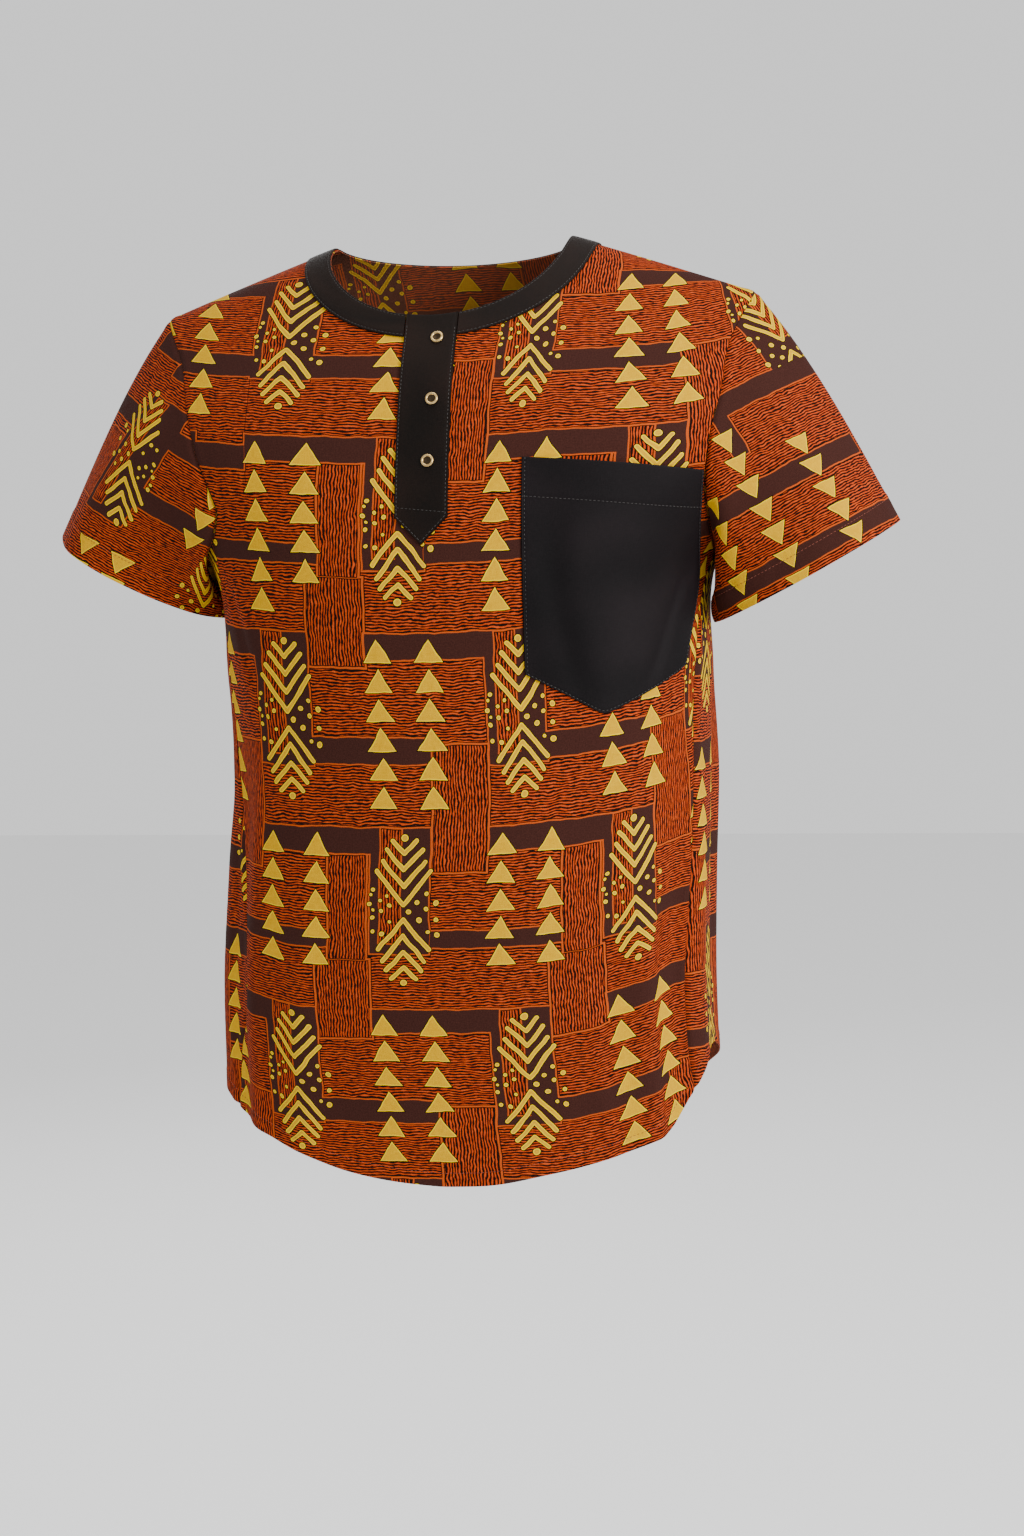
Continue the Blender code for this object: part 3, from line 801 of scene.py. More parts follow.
@dataclass(frozen=True)
class Print:
    """The cloth's print, charted on its flat cut: right is u and down is v.

    It is a half-drop repeat. Each row is half a repeat to the side of the one above. Rusty
    stripes fill blocks between dark bands, and a lozenge of arrowheads and a double column of
    triangles take turns along each row.
    """

    name: str = "body_print"
    repeat: float = 170.6 * MM
    row: float = 138.5 * MM
    lozenges: tuple[Lozenge, ...] = (Lozenge(0.0, 0.0, Rows.ALL),)
    columns: tuple[Column, ...] = (
        Column(69.5, -57.5, 5, Rows.EVEN),
        Column(105.5, -57.5, 5, Rows.EVEN),
        Column(69.5, 46.5, 1, Rows.FOURTH),
        Column(69.5, -57.5, 6, Rows.ODD),
        Column(105.5, -57.5, 6, Rows.ODD),
    )
    dark_blocks: tuple[Block, ...] = (
        Block(-25.0, -62.0, 18.5, 33.0),
        Block(60.0, -62.0, 153.0, -43.0),
        Block(14.0, 12.0, 104.5, 31.0, Rows.ODD),
        Block(18.0, 14.5, 114.0, 28.5, Rows.EVEN),
        Block(-190.0, -126.5, -108.0, -107.5, Rows.ONCE),
        Block(-190.0, -54.0, -110.0, -36.0, Rows.ONCE),
    )
    level_blocks: tuple[Block, ...] = (Block(-190.0, -140.0, -108.5, -20.0, Rows.ONCE),)
    blank_blocks: tuple[Block, ...] = ()
    upright_blocks: tuple[Block, ...] = (
        Block(-18.0, -62.0, -2.0, 25.0),
        Block(114.0, -43.0, 143.5, 38.0, Rows.EVEN),
        Block(104.0, 37.0, 146.0, 101.0, Rows.EVEN),
        Block(104.5, 17.0, 145.0, 110.0, Rows.ODD),
    )
    strokes: tuple[Stroke, ...] = (
        Stroke(-43.4, 8.5, -9.4),
        Stroke(-31.1, 12.7, -15.2),
        Stroke(-18.8, 15.2, -18.8),
        Stroke(-5.1, 19.2, -25.3),
        Stroke(6.2, 18.1, 23.2),
        Stroke(18.1, 14.8, 20.3),
        Stroke(30.9, 12.3, 14.5),
        Stroke(43.0, 8.7, 8.7),
    )
    dots: tuple[Dot, ...] = (
        Dot(0.0, -55.0, 2.6), Dot(0.0, 55.0, 2.5),
        Dot(-22.1, -16.7, 1.6), Dot(-23.7, -12.7, 1.2), Dot(-24.6, -5.4, 1.7), Dot(-22.4, -0.9, 1.1),
        Dot(-23.0, 4.7, 1.6), Dot(-22.1, 15.9, 1.5), Dot(-16.7, -8.5, 1.4), Dot(-16.4, -0.7, 1.6),
        Dot(-15.6, 17.4, 1.8), Dot(-11.8, -12.3, 1.3), Dot(-10.3, -4.9, 1.6), Dot(-10.3, 7.7, 1.3),
        Dot(10.1, -7.1, 1.9), Dot(4.0, 0.3, 2.0), Dot(11.6, 6.0, 2.0), Dot(16.7, -13.4, 1.6),
        Dot(16.7, -2.4, 1.7), Dot(17.2, 15.1, 1.4), Dot(23.9, -7.2, 2.1), Dot(23.9, 6.0, 1.8),
        Dot(23.5, 17.7, 2.1),
    )
    stroke_width: float = 3.3 * MM
    triangle_pitch: float = 20.8 * MM
    triangle_half: float = 10.2 * MM
    triangle_height: float = 16.4 * MM
    border: float = 0.75 * MM
    border_gap: float = 0.7 * MM
    keyline: float = 0.60 * MM
    rim: float = 0.75 * MM
    drawn_wobble: float = 1.5 * MM
    sway_scale: float = 42.0
    shake_scale: float = 55.0
    shake_start: tuple[float, float, float] = (3.7, 1.9, 0.0)
    stripe_pitch: float = 2.15 * MM
    stripe_drift: float = 2.6 * MM
    drift_scale: float = 95.0
    stripe_stretch: float = 0.36
    stripe_scale: float = 620.0
    stripe_breadth: float = 0.66
    stripe_thinning: float = 0.120
    stripe_sharpness: float = 9.0
    rust_scale: float = 330.0
    chocolate_scale: float = 900.0
    gold_scale: float = 260.0
    near_black: str = "120503"
    border_rust: str = "A4420E"
    outline: str = "120402"
    rim_gold: str = "D0AE00"
    rusts: tuple[str, str] = ("8A2206", "BC4A16")
    chocolates: tuple[str, str] = ("26100C", "3A1E18")
    golds: tuple[str, str] = ("B08200", "BE9200")

    def cell(self, at: Spot, right: float, down: float, rows: Rows) -> Spot:
        """Coordinates from the nearest copy of one place in the repeat.

        Where every row has the mark, v is wrapped into one row, and u is moved back half a
        repeat for each row it crossed.

        Args:
            at: flat coordinates.
            right: the place's own u.
            down: the place's own v.
            rows: which rows have the mark.

        Returns:
            Distances across and down from the place.
        """
        if rows is Rows.ONCE:
            return Spot(at.u - right, at.v - down)
        half = self.repeat / 2
        if rows is Rows.ALL:
            from_middle = at.v - down
            wrapped = from_middle.wrapped(self.row / 2, -self.row / 2)
            slant = (from_middle - wrapped) * (-half / self.row)
            return Spot((at.u + slant - right).wrapped(half, -half), wrapped)
        first, step = rows.value
        tall = step * self.row / 2
        return Spot((at.u - (right + first * half)).wrapped(half, -half),
                    (at.v - (down + first * self.row)).wrapped(tall, -tall))

    def block_distance(self, at: Spot, block: Block) -> Wire:
        """Distance outside a rectangle, less than 0 inside it.

        Args:
            at: flat coordinates.
            block: the rectangle.

        Returns:
            The larger of the distances across and down.
        """
        right, down = (block.left + block.right) / 2 * MM, (block.top + block.bottom) / 2 * MM
        x, y = self.cell(at, right, down, block.rows)
        return (abs(x) - (block.right - block.left) / 2 * MM).most(
            abs(y) - (block.bottom - block.top) / 2 * MM)

    def blocks_distance(self, at: Spot, group: tuple[Block, ...]) -> Wire:
        """Distance outside a group of rectangles."""
        return nearest([self.block_distance(at, block) for block in group])

    def without(self, at: Spot, mark: Wire, group: tuple[Block, ...]) -> Wire:
        """Distance outside a mark that has some rectangles cut out of it."""
        return reduce(Wire.most, [self.block_distance(at, block) * -1.0 for block in group], mark)

    def lozenge_distance(self, at: Spot, place: Lozenge) -> Wire:
        """Distance outside the arrowheads and dots: each arm is a fat line, folded at its tip.

        Args:
            at: flat coordinates.
            place: the lozenge.

        Returns:
            The distance, less than 0 inside.
        """
        x, y = self.cell(at, place.right * MM, place.down * MM, place.rows)
        g = x.graph
        if place.lean:
            x = x - y * place.lean
        folded, spot = g.joined(abs(x), y), g.joined(x, y)
        arms = []
        for stroke in self.strokes:
            arm = (stroke.half_width * MM, stroke.reach * MM, 0.0)
            aim = tuple(part / (arm[0]**2 + arm[1]**2) for part in arm)
            from_tip = g.vector("SUBTRACT", folded, (0.0, stroke.tip * MM, 0.0))
            share = g.measure("DOT_PRODUCT", from_tip, aim).held()
            arms.append(g.measure("DISTANCE", from_tip, g.scaled(arm, share)))
        dots = [g.measure("DISTANCE", spot, (dot.right * MM, dot.down * MM, 0.0)) - dot.radius * MM
                for dot in self.dots]
        return nearest([nearest(arms) - self.stroke_width / 2] + dots)

    def column_distance(self, at: Spot, place: Column) -> Wire:
        """Distance outside a column of triangles, with its rows wrapped into one.

        Args:
            at: flat coordinates.
            place: the column.

        Returns:
            The largest of the distances outside a flank, a base and the column's ends.
        """
        half = place.count * self.triangle_pitch / 2
        x, y = self.cell(at, place.right * MM, place.top * MM + half, place.rows)
        row = (y + half).wrapped(self.triangle_pitch, 0.0)
        slope = math.hypot(self.triangle_half, self.triangle_height)
        flank = abs(x) * (self.triangle_height / slope) - row * (self.triangle_half / slope)
        return flank.most(row - self.triangle_height).most(abs(y) - half)

    def motif_distance(self, at: Spot) -> Wire:
        """Distance outside all lozenges and triangles."""
        marks = [self.lozenge_distance(at, place) for place in self.lozenges]
        marks += [self.column_distance(at, place) for place in self.columns]
        return self.without(at, nearest(marks), self.blank_blocks)

    def blend(self, field: Wire, pair: tuple[str, str]) -> Wire:
        """Two paints mixed by a field."""
        return field.graph.mixed(field, paint(pair[0]), paint(pair[1]))

    def stripes(self, at: Spot, is_upright: Wire, edge: Wire) -> Wire:
        """Rusty broken lines on near black, which run down in upright blocks and across elsewhere.

        A saw tooth across the lines is cut at a width that wanders, and long specks break it.

        Args:
            at: flat coordinates.
            is_upright: 1 in upright blocks.
            edge: distance from the nearest edge of a block.

        Returns:
            The colour.
        """
        g = edge.graph
        across = at.v + (at.u - at.v) * is_upright
        along = at.u + (at.v - at.u) * is_upright
        wander = g.noise(g.joined(along, across), self.drift_scale, 1.0) - 0.5
        moved = across + wander * self.stripe_drift
        tooth = abs((moved * (1.0 / self.stripe_pitch)).wrapped(1.0, 0.0) - 0.5)
        field = g.joined(along * self.stripe_stretch, across)
        width = g.noise(field, self.stripe_scale, 3.0) * self.stripe_breadth - self.stripe_thinning
        line = ((width - tooth) * self.stripe_sharpness + 0.5).held()
        line = line * edge.below(self.border + self.border_gap).rest()
        rust = self.blend(g.noise(field, self.rust_scale), self.rusts)
        colour = g.mixed(line, paint(self.near_black), rust)
        return g.mixed(edge.below(self.border), colour, paint(self.border_rust))

    def build(self) -> bpy.types.NodeTree:
        """Node group that turns flat coordinates in metres into the print's colour.

        Returns:
            The group, with one vector in and one colour out.
        """
        tree = bpy.data.node_groups.new(self.name, "ShaderNodeTree")
        tree.interface.new_socket("Cut", in_out="INPUT", socket_type="NodeSocketVector")
        tree.interface.new_socket("Colour", in_out="OUTPUT", socket_type="NodeSocketColor")
        g = Graph(tree)
        flat = Wire(g, tree.nodes.new("NodeGroupInput").outputs[0])
        u, v = g.parts(flat)
        sway = g.noise(flat, self.sway_scale) - 0.5
        shake = g.noise(g.vector("ADD", flat, self.shake_start), self.shake_scale) - 0.5
        wobble = 2 * self.drawn_wobble
        at = Spot(u + sway * wobble, v + shake * wobble)
        dark = self.blocks_distance(at, self.dark_blocks)
        upright = self.without(at, self.blocks_distance(at, self.upright_blocks), self.level_blocks)
        is_upright = upright.below(0.0)
        edge = abs(upright).least(abs(dark))
        plain = dark.below(0.0) * is_upright.rest() * edge.below(self.border / 2).rest()
        chocolate = self.blend(g.noise(flat, self.chocolate_scale), self.chocolates)
        gold = self.blend(g.noise(flat, self.gold_scale), self.golds)
        motif = self.motif_distance(at)
        colour = self.stripes(at, is_upright, edge)
        for share, layer in ((plain, chocolate), (motif.below(self.keyline), paint(self.outline)),
                             (motif.below(0.0), paint(self.rim_gold)), (motif.below(-self.rim), gold)):
            colour = g.mixed(share, colour, layer)
        g.feed(tree.nodes.new("NodeGroupOutput").inputs[0], colour)
        return tree


BODY_PRINT = Print()
LEFT_SLEEVE_PRINT = Print(
    name="left_sleeve_print",
    repeat=222.5 * MM,
    row=500.0 * MM,
    lozenges=(Lozenge(14.0, 168.0),),
    columns=(Column(111.0, -14.0, 7), Column(60.0, -1.5, 5), Column(155.0, -14.0, 5)),
    dark_blocks=blocks(Rows.EVEN, (-4.0, 3.5, 192.0, 21.0), (6.0, 64.0, 190.0, 82.0),
                       (-40.0, 138.0, 112.0, 156.0), (98.0, 104.0, 112.0, 150.0),
                       (-5.0, 150.0, 38.0, 222.0)),
    upright_blocks=blocks(Rows.EVEN, (-38.0, 34.0, -6.0, 128.0), (2.0, 176.0, 18.0, 222.0)),
    level_blocks=(),
    blank_blocks=blocks(Rows.EVEN, (-30.0, 100.0, 58.0, 155.0)),
)
RIGHT_SLEEVE_PRINT = Print(
    name="right_sleeve_print",
    repeat=219.3 * MM,
    row=500.0 * MM,
    lozenges=(Lozenge(-67.0, 97.0, lean=0.35), Lozenge(-178.0, 0.0)),
    columns=(Column(-71.5, -19.5, 2), Column(-104.0, -19.5, 2), Column(-144.0, 51.0, 4),
             Column(5.0, 20.0, 7)),
    dark_blocks=blocks(Rows.EVEN, (-92.0, 40.0, -46.0, 152.0), (-164.0, 118.0, -84.0, 136.0),
                       (-215.0, 62.0, -84.0, 80.0), (-46.0, 118.0, 40.0, 136.0),
                       (-80.0, 171.0, -48.0, 235.0), (-48.0, 183.0, -16.0, 235.0)),
    upright_blocks=blocks(Rows.EVEN, (-46.0, 46.0, -18.0, 108.0), (-66.0, 48.0, -52.0, 150.0)),
    level_blocks=(),
)


class Finish:
    """A material that is made once and then shared."""

    name: str = "finish"

    def material(self) -> bpy.types.Material:
        """The material, made at the first call.

        Returns:
            The one material of this name.
        """
        found = bpy.data.materials.get(self.name)
        if found:
            return found
        made = bpy.data.materials.new(self.name)
        made.use_nodes = True
        graph = Graph(made.node_tree)
        self.dress(graph, made.node_tree.nodes["Principled BSDF"])
        return made

    def dress(self, g: Graph, shader: bpy.types.Node) -> None:
        """Set the shader's constants and lay its nodes.

        Args:
            g: the material's graph.
            shader: its shader.
        """
        raise NotImplementedError


@dataclass(frozen=True)
class Weave:
    """Plain weave: threads over and under each other, with slubs, as a bump on the flat cut."""

    thread: float = 0.55 * MM
    depth: float = 0.10 * MM
    slub_depth: float = 0.16 * MM
    slub_scale: float = 1500.0
    drawn_out: float = 0.12
    strength: float = 0.5

    def bump(self, g: Graph, shader: bpy.types.Node) -> Wire:
        """Feed the shader's normal, and give back a soft field that follows the threads.

        The height is the product of two cosines plus noise drawn out along each thread.

        Args:
            g: the material's graph.
            shader: its shader.

        Returns:
            The field, 1 on average.
        """
        u, v = g.parts(g.cut())
        turn = 2 * math.pi / self.thread
        over = g.number("COSINE", u * turn) * g.number("COSINE", v * turn)
        weft = g.noise(g.joined(u * self.drawn_out, v), self.slub_scale, 1.0)
        warp = g.noise(g.joined(u, v * self.drawn_out), self.slub_scale, 1.0)
        slub = weft + warp
        bump = g.node("Bump")
        g.feeds(bump, {"Strength": self.strength, "Distance": 1.0,
                       "Height": over * (self.depth / 2) + slub * self.slub_depth})
        g.feed(shader.inputs["Normal"], Wire(g, bump.outputs[0]))
        return slub


@dataclass(frozen=True)
class PrintCotton(Finish):
    """The printed cotton, right side or the wrong side, whose paler print is mixed toward a dark brown as
    painted shade of the shirt's inside.
    """

    name: str = "printed_cotton"
    chart: Print = BODY_PRINT
    wrong_side: bool = False
    roughness: float = 0.85
    specular: float = 0.07
    shade: float = 0.22
    fade_and_shade_share: float = 0.45
    fade_and_shade_colour: str = "6A4434"

    def dress(self, g: Graph, shader: bpy.types.Node) -> None:
        """The print on the flat cut, with each thread a little lighter or darker."""
        group = g.node("Group")
        group.node_tree = bpy.data.node_groups.get(self.chart.name) or self.chart.build()
        g.feed(group.inputs[0], g.cut())
        slub = Weave().bump(g, shader)
        colour = g.scaled(Wire(g, group.outputs[0]), slub * self.shade + (1.0 - self.shade))
        # wrong side: the print is paler, and the dark brown that it is mixed with is painted shade of the
        # shirt's inside
        if self.wrong_side:
            colour = g.mixed(self.fade_and_shade_share, colour, paint(self.fade_and_shade_colour))
        g.feeds(shader, {"Base Color": colour, "Roughness": self.roughness,
                         "Specular IOR Level": self.specular})


@dataclass(frozen=True)
class PlainCotton(Finish):
    """Black cotton of the band, placket and pocket."""

    name: str = "band_cotton"
    dark: str = "070301"
    light: str = "1D100A"
    roughness: float = 0.60
    specular: float = 0.09
    weave: Weave = Weave(slub_depth=0.10 * MM)
    slub_share: float = 0.35
    # strength and size of the broad clouds of painted sheen and shade over the black cotton
    painted_sheen_share: float = 1.3
    painted_sheen_scale: float = 16.0
    darker: float = 0.60

    def dress(self, g: Graph, shader: bpy.types.Node) -> None:
        """Two near blacks mixed by the threads and by broad soft clouds of painted sheen and shade."""
        slub = self.weave.bump(g, shader)
        # painted sheen and shade: broad soft clouds that lighten and darken the black cotton
        painted_sheen = g.noise(g.cut(), self.painted_sheen_scale, 1.0)
        share = (slub * self.slub_share + painted_sheen * self.painted_sheen_share - self.darker).held()
        g.feeds(shader, {"Base Color": g.mixed(share, paint(self.dark), paint(self.light)),
                         "Roughness": self.roughness, "Specular IOR Level": self.specular})


@dataclass(frozen=True)
class SewingThread(Finish):
    """Spun polyester thread."""

    name: str = "black_thread"
    colour: str = "1D1917"
    lighter: float = 1.8
    twist_scale: float = 2500.0
    roughness: float = 0.55

    def dress(self, g: Graph, shader: bpy.types.Node) -> None:
        """One colour with fine twist."""
        base = paint(self.colour)
        light = tuple(min(part * self.lighter, 1.0) for part in base)
        g.feeds(shader, {"Base Color": g.mixed(g.grain(self.twist_scale), base, light),
                         "Roughness": self.roughness})


@dataclass(frozen=True)
class AntiqueBrass(Finish):
    """Brass with a darker, duller bloom."""

    name: str = "ring_brass"
    bright: str = "E2C48A"
    dull: str = "8A6A38"
    roughness: float = 0.20
    rougher: float = 0.3
    patch_scale: float = 420.0

    def dress(self, g: Graph, shader: bpy.types.Node) -> None:
        """Bright metal with soft dull patches."""
        patch = g.grain(self.patch_scale)
        g.feeds(shader, {"Base Color": g.mixed(patch, paint(self.bright), paint(self.dull)),
                         "Roughness": patch * self.rougher + self.roughness, "Metallic": 1.0})


@dataclass(frozen=True)
class StudioFloor(Finish):
    """Plain pale floor."""

    name: str = "studio_floor"
    grey: float = 0.86
    roughness: float = 0.9

    def dress(self, g: Graph, shader: bpy.types.Node) -> None:
        """Nearly white and matt."""
        g.feeds(shader, {"Base Color": (self.grey, self.grey, self.grey, 1.0),
                         "Roughness": self.roughness})


@dataclass(frozen=True)
class Cloth:
    """Sizes that every printed piece shares."""

    thickness: float = 0.8 * MM
    seam_gap: float = 0.3 * MM
    seam_dip: float = 0.9 * MM
    seam_width: float = 1.7 * MM
    ridge_rise: float = 0.45 * MM
    ridge_at: float = 4.5 * MM
    ridge_width: float = 3.2 * MM
    hem_rise: float = 0.45 * MM
    hem_step: float = 1.5 * MM
    hem_stitch: float = 1.6 * MM
    stitch_dip: float = 0.35 * MM
    stitch_width: float = 0.9 * MM
    pucker: float = 0.28 * MM
    pucker_length: float = 13.0 * MM
    pucker_in: float = 1.0 * MM
    pucker_width: float = 6.0 * MM
    second_pucker: float = 0.6
    second_stretch: float = 1.7
    second_start: float = 1.3

    def seam_relief(self, distance: np.ndarray) -> np.ndarray:
        """A narrow trough at a seam, with the turned edges' low ridge beside it."""
        return (self.ridge_rise * hump(distance, self.ridge_at, self.ridge_width)
                - self.seam_dip * hump(distance, 0.0, self.seam_width))

    def hem_relief(self, from_hem: np.ndarray, along: np.ndarray, deep: float) -> np.ndarray:
        """The turned-up hem: a low step with a stitched trough and faint puckers along it.

        Args:
            from_hem: distance from the hem's edge.
            along: distance along the hem.
            deep: depth of the turning.

        Returns:
            Height over the bare cloth.
        """
        step = self.hem_rise * (1 - ramp(from_hem, deep, deep + self.hem_step))
        trough = self.stitch_dip * hump(from_hem, deep - self.hem_stitch, self.stitch_width)
        turn = 2 * np.pi * along / self.pucker_length
        second = np.sin(turn / self.second_stretch + self.second_start)
        wave = np.sin(turn) + self.second_pucker * second
        pucker = self.pucker * wave * hump(from_hem, deep - self.pucker_in, self.pucker_width)
        return step - trough + pucker


CLOTH = Cloth()
FORM = WornForm()


class Cut(NamedTuple):
    """The flat size of what shows of a piece, what it hangs from or lies on, and how."""

    width: float
    length: float
    area: float
    held: str
    rests_on: tuple[str, ...]

    def declare(self, piece: bpy.types.Object, stitches: list[bpy.types.Object]) -> None:
        """Turn what the piece rests on into a list; nothing else is done with the piece."""
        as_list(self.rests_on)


CUTS = {
    "front": Cut(0.545, 0.753, 0.2750, "hung", ("back",)),
    "back": Cut(0.698, 0.750, 0.3850, "hung", ("front",)),
    "sleeve_left": Cut(0.518, 0.198, 0.0513, "hung", ("front", "back")),
    "sleeve_right": Cut(0.561, 0.187, 0.0506, "hung", ("front", "back")),
    "neckband": Cut(0.612, 0.020, 0.0115, "laid", ("front", "back")),
    "placket": Cut(0.039, 0.1755, 0.0067, "laid", ("front",)),
    "placket_under": Cut(0.030, 0.156, 0.0046, "hung", ("front",)),
    "pocket": Cut(0.148, 0.179, 0.0235, "laid", ("front",)),
}


class Drift(NamedTuple):
    """How far the drape shifts the print: one term of a smooth shift, in millimetres.

    The term is the shift times the across power and the down power of the print's flat
    coordinates, in DRIFT_UNIT from centre front and from DRIFT_MIDDLE.
    """

    across_power: int
    down_power: int
    right: float
    down: float


DRIFT_UNIT = 0.1
DRIFT_MIDDLE = 0.15
DRIFTS = (
    Drift(0, 0, 2.84, -0.46), Drift(1, 0, -4.44, 0.03), Drift(0, 1, 1.66, -1.58),
    Drift(2, 0, 4.18, 1.98), Drift(1, 1, 0.42, 0.94), Drift(0, 2, -0.49, 0.41),
    Drift(2, 1, -1.58, -0.60), Drift(1, 2, -0.33, -0.19), Drift(3, 0, 0.30, 0.76),
    Drift(0, 3, -0.01, 0.25),
)


def drift(across: np.ndarray, down: np.ndarray) -> tuple[np.ndarray, np.ndarray]:
    """Shifts of the front's print across and down at flat coordinates: the sum of the terms."""
    x, y = across / DRIFT_UNIT, (down - DRIFT_MIDDLE) / DRIFT_UNIT
    powers = [x**term.across_power * y**term.down_power * MM for term in DRIFTS]
    return (sum(term.right * power for term, power in zip(DRIFTS, powers)),
            sum(term.down * power for term, power in zip(DRIFTS, powers)))


class Pull(NamedTuple):
    """How the print is drawn out towards an armhole, past a distance from centre front."""

    start: float
    least: float
    more: float
    more_levels: tuple[float, float]
    end_levels: tuple[float, float]

    def shift(self, out: np.ndarray, down: np.ndarray) -> np.ndarray:
        """Shift at distances towards the armhole and flat heights: a share that fades out below."""
        share = self.least + self.more * ramp(down, *self.more_levels)
        return np.clip(out - self.start, 0.0, None) * share * (1 - ramp(down, *self.end_levels))


class Hemmed:
    """A piece with a turned and stitched hem."""

    hem_deep: float
    outer: np.ndarray
    outward: np.ndarray
    from_hem: np.ndarray

    def stitch_lines(self) -> list[Line]:
        """Where the hem's stitches run."""
        return [line_at(self.outer, self.outward, self.from_hem, self.hem_deep - CLOTH.hem_stitch)]


@dataclass
class Panel(Hemmed):
    """Front or back of the body, from its neck edge and shoulder seams to the hem."""

    face: Face
    neck_steps: int = 22
    shoulder_steps: int = 40
    armhole_steps: int = 64
    side_steps: int = 96
    front_neck_drop: float = 0.057
    back_neck_drop: float = 0.012
    neck_curve: float = 1.08
    underarm: float = -0.235
    side_hem: float = -0.640
    slit_half: float = 0.003
    slit_end: float = -0.185
    hem_deep: float = 12.0 * MM
    fan_depth: float = 0.35
    side_close: float = 0.35
    close_from: float = 0.55
    shoulder_clear: float = 0.012
    seam_depth: float = 0.004
    print_start: float = -0.3446
    print_shift: tuple[float, float] = (17.5 * MM, 138.5 * MM)
    back_print_shift: tuple[float, float] = (76.7 * MM, 50.0 * MM)
    side_drop: float = 0.018
    drop_angles: tuple[float, float] = (22.0, 72.0)
    drop_levels: tuple[float, float] = (0.40, 0.58)
    left_pull: Pull = Pull(0.110, 0.14, 0.17, (-0.18, -0.05), (0.0, 0.17))
    right_pull: Pull = Pull(0.090, 0.27, 0.0, (-0.18, -0.05), (-0.03, 0.09))
    pull_down: float = 0.27
    even_side_rows: float = 0.55
    front_armhole: tuple[Edge, ...] = (
        Edge(-0.047, 64.8, 64.8), Edge(-0.080, 57.0, 54.0), Edge(-0.120, 54.8, 49.0),
        Edge(-0.150, 53.8, 46.8), Edge(-0.175, 56.8, 46.0), Edge(-0.200, 65.0, 49.5),
        Edge(-0.220, 75.0, 62.0), Edge(-0.235, 86.0, 86.0),
    )
    back_armhole: tuple[Edge, ...] = (
        Edge(-0.047, 115.2, 115.2), Edge(-0.080, 118.0, 118.0), Edge(-0.120, 120.2, 120.2),
        Edge(-0.165, 120.0, 120.0), Edge(-0.200, 114.5, 114.5), Edge(-0.224, 101.5, 101.5),
        Edge(-0.235, 86.0, 86.0),
    )
    side_seam: tuple[Edge, ...] = (
        Edge(-0.235, 86.0, 86.0), Edge(-0.290, 78.0, 71.5), Edge(-0.380, 72.7, 67.0),
        Edge(-0.480, 70.7, 60.0), Edge(-0.555, 69.0, 54.0), Edge(-0.605, 69.5, 63.0),
        Edge(-0.660, 72.5, 68.0),
    )
    hem: tuple[HemPoint, ...] = (
        HemPoint(180.0, -0.703, -0.703), HemPoint(155.0, -0.694, -0.697),
        HemPoint(130.0, -0.662, -0.674), HemPoint(110.0, -0.628, -0.652),
        HemPoint(95.0, -0.607, -0.640), HemPoint(82.0, -0.609, -0.638),
        HemPoint(72.0, -0.629, -0.6445), HemPoint(62.0, -0.654, -0.652),
        HemPoint(48.0, -0.667, -0.6605), HemPoint(34.0, -0.677, -0.6725),
        HemPoint(20.0, -0.6855, -0.6855), HemPoint(8.0, -0.6930, -0.6920),
        HemPoint(0.0, -0.6945, -0.6945),
    )

    def __post_init__(self) -> None:
        """Work out the panel's grid and its outer face."""
        self.is_front = self.face is Face.FRONT
        self.sign = 1 if self.is_front else -1
        self.angle, self.height = self.grid()
        self.base = FORM.skin(self.angle, self.height)
        self.outward = FORM.normal(self.angle, self.height)
        on_seam = np.abs(self.base[0, :, 1]) < self.seam_depth
        self.base[0, :, 1] -= self.sign * CLOTH.seam_gap / 2 * on_seam

    def neck_height(self, share: np.ndarray) -> np.ndarray:
        """Height of the neck edge from its centre, share 0, to the shoulder seam, share 1."""
        drop = self.front_neck_drop if self.is_front else self.back_neck_drop
        return -drop * np.cos(share * np.pi / 2)**self.neck_curve

    def edge_angle(self, height: np.ndarray, side: Side) -> np.ndarray:
        """Angle of the side edge: the armhole above the underarm, the side seam below it.

        Args:
            height: the level.
            side: which edge.

        Returns:
            Angles from centre front, above 0 on both sides.
        """
        column = 1 if side is Side.LEFT else 2
        curve = self.front_armhole if self.is_front else self.back_armhole
        armhole = smooth_table(height, curve, column)
        seam = smooth_table(height, self.side_seam, column)
        return np.radians(np.where(height > self.underarm, armhole, seam))

    def from_centre(self, share: np.ndarray, edge: np.ndarray) -> np.ndarray:
        """Angle at a share of the way from the centre line to the side edge."""
        return share * edge if self.is_front else np.pi - share * (np.pi - edge)

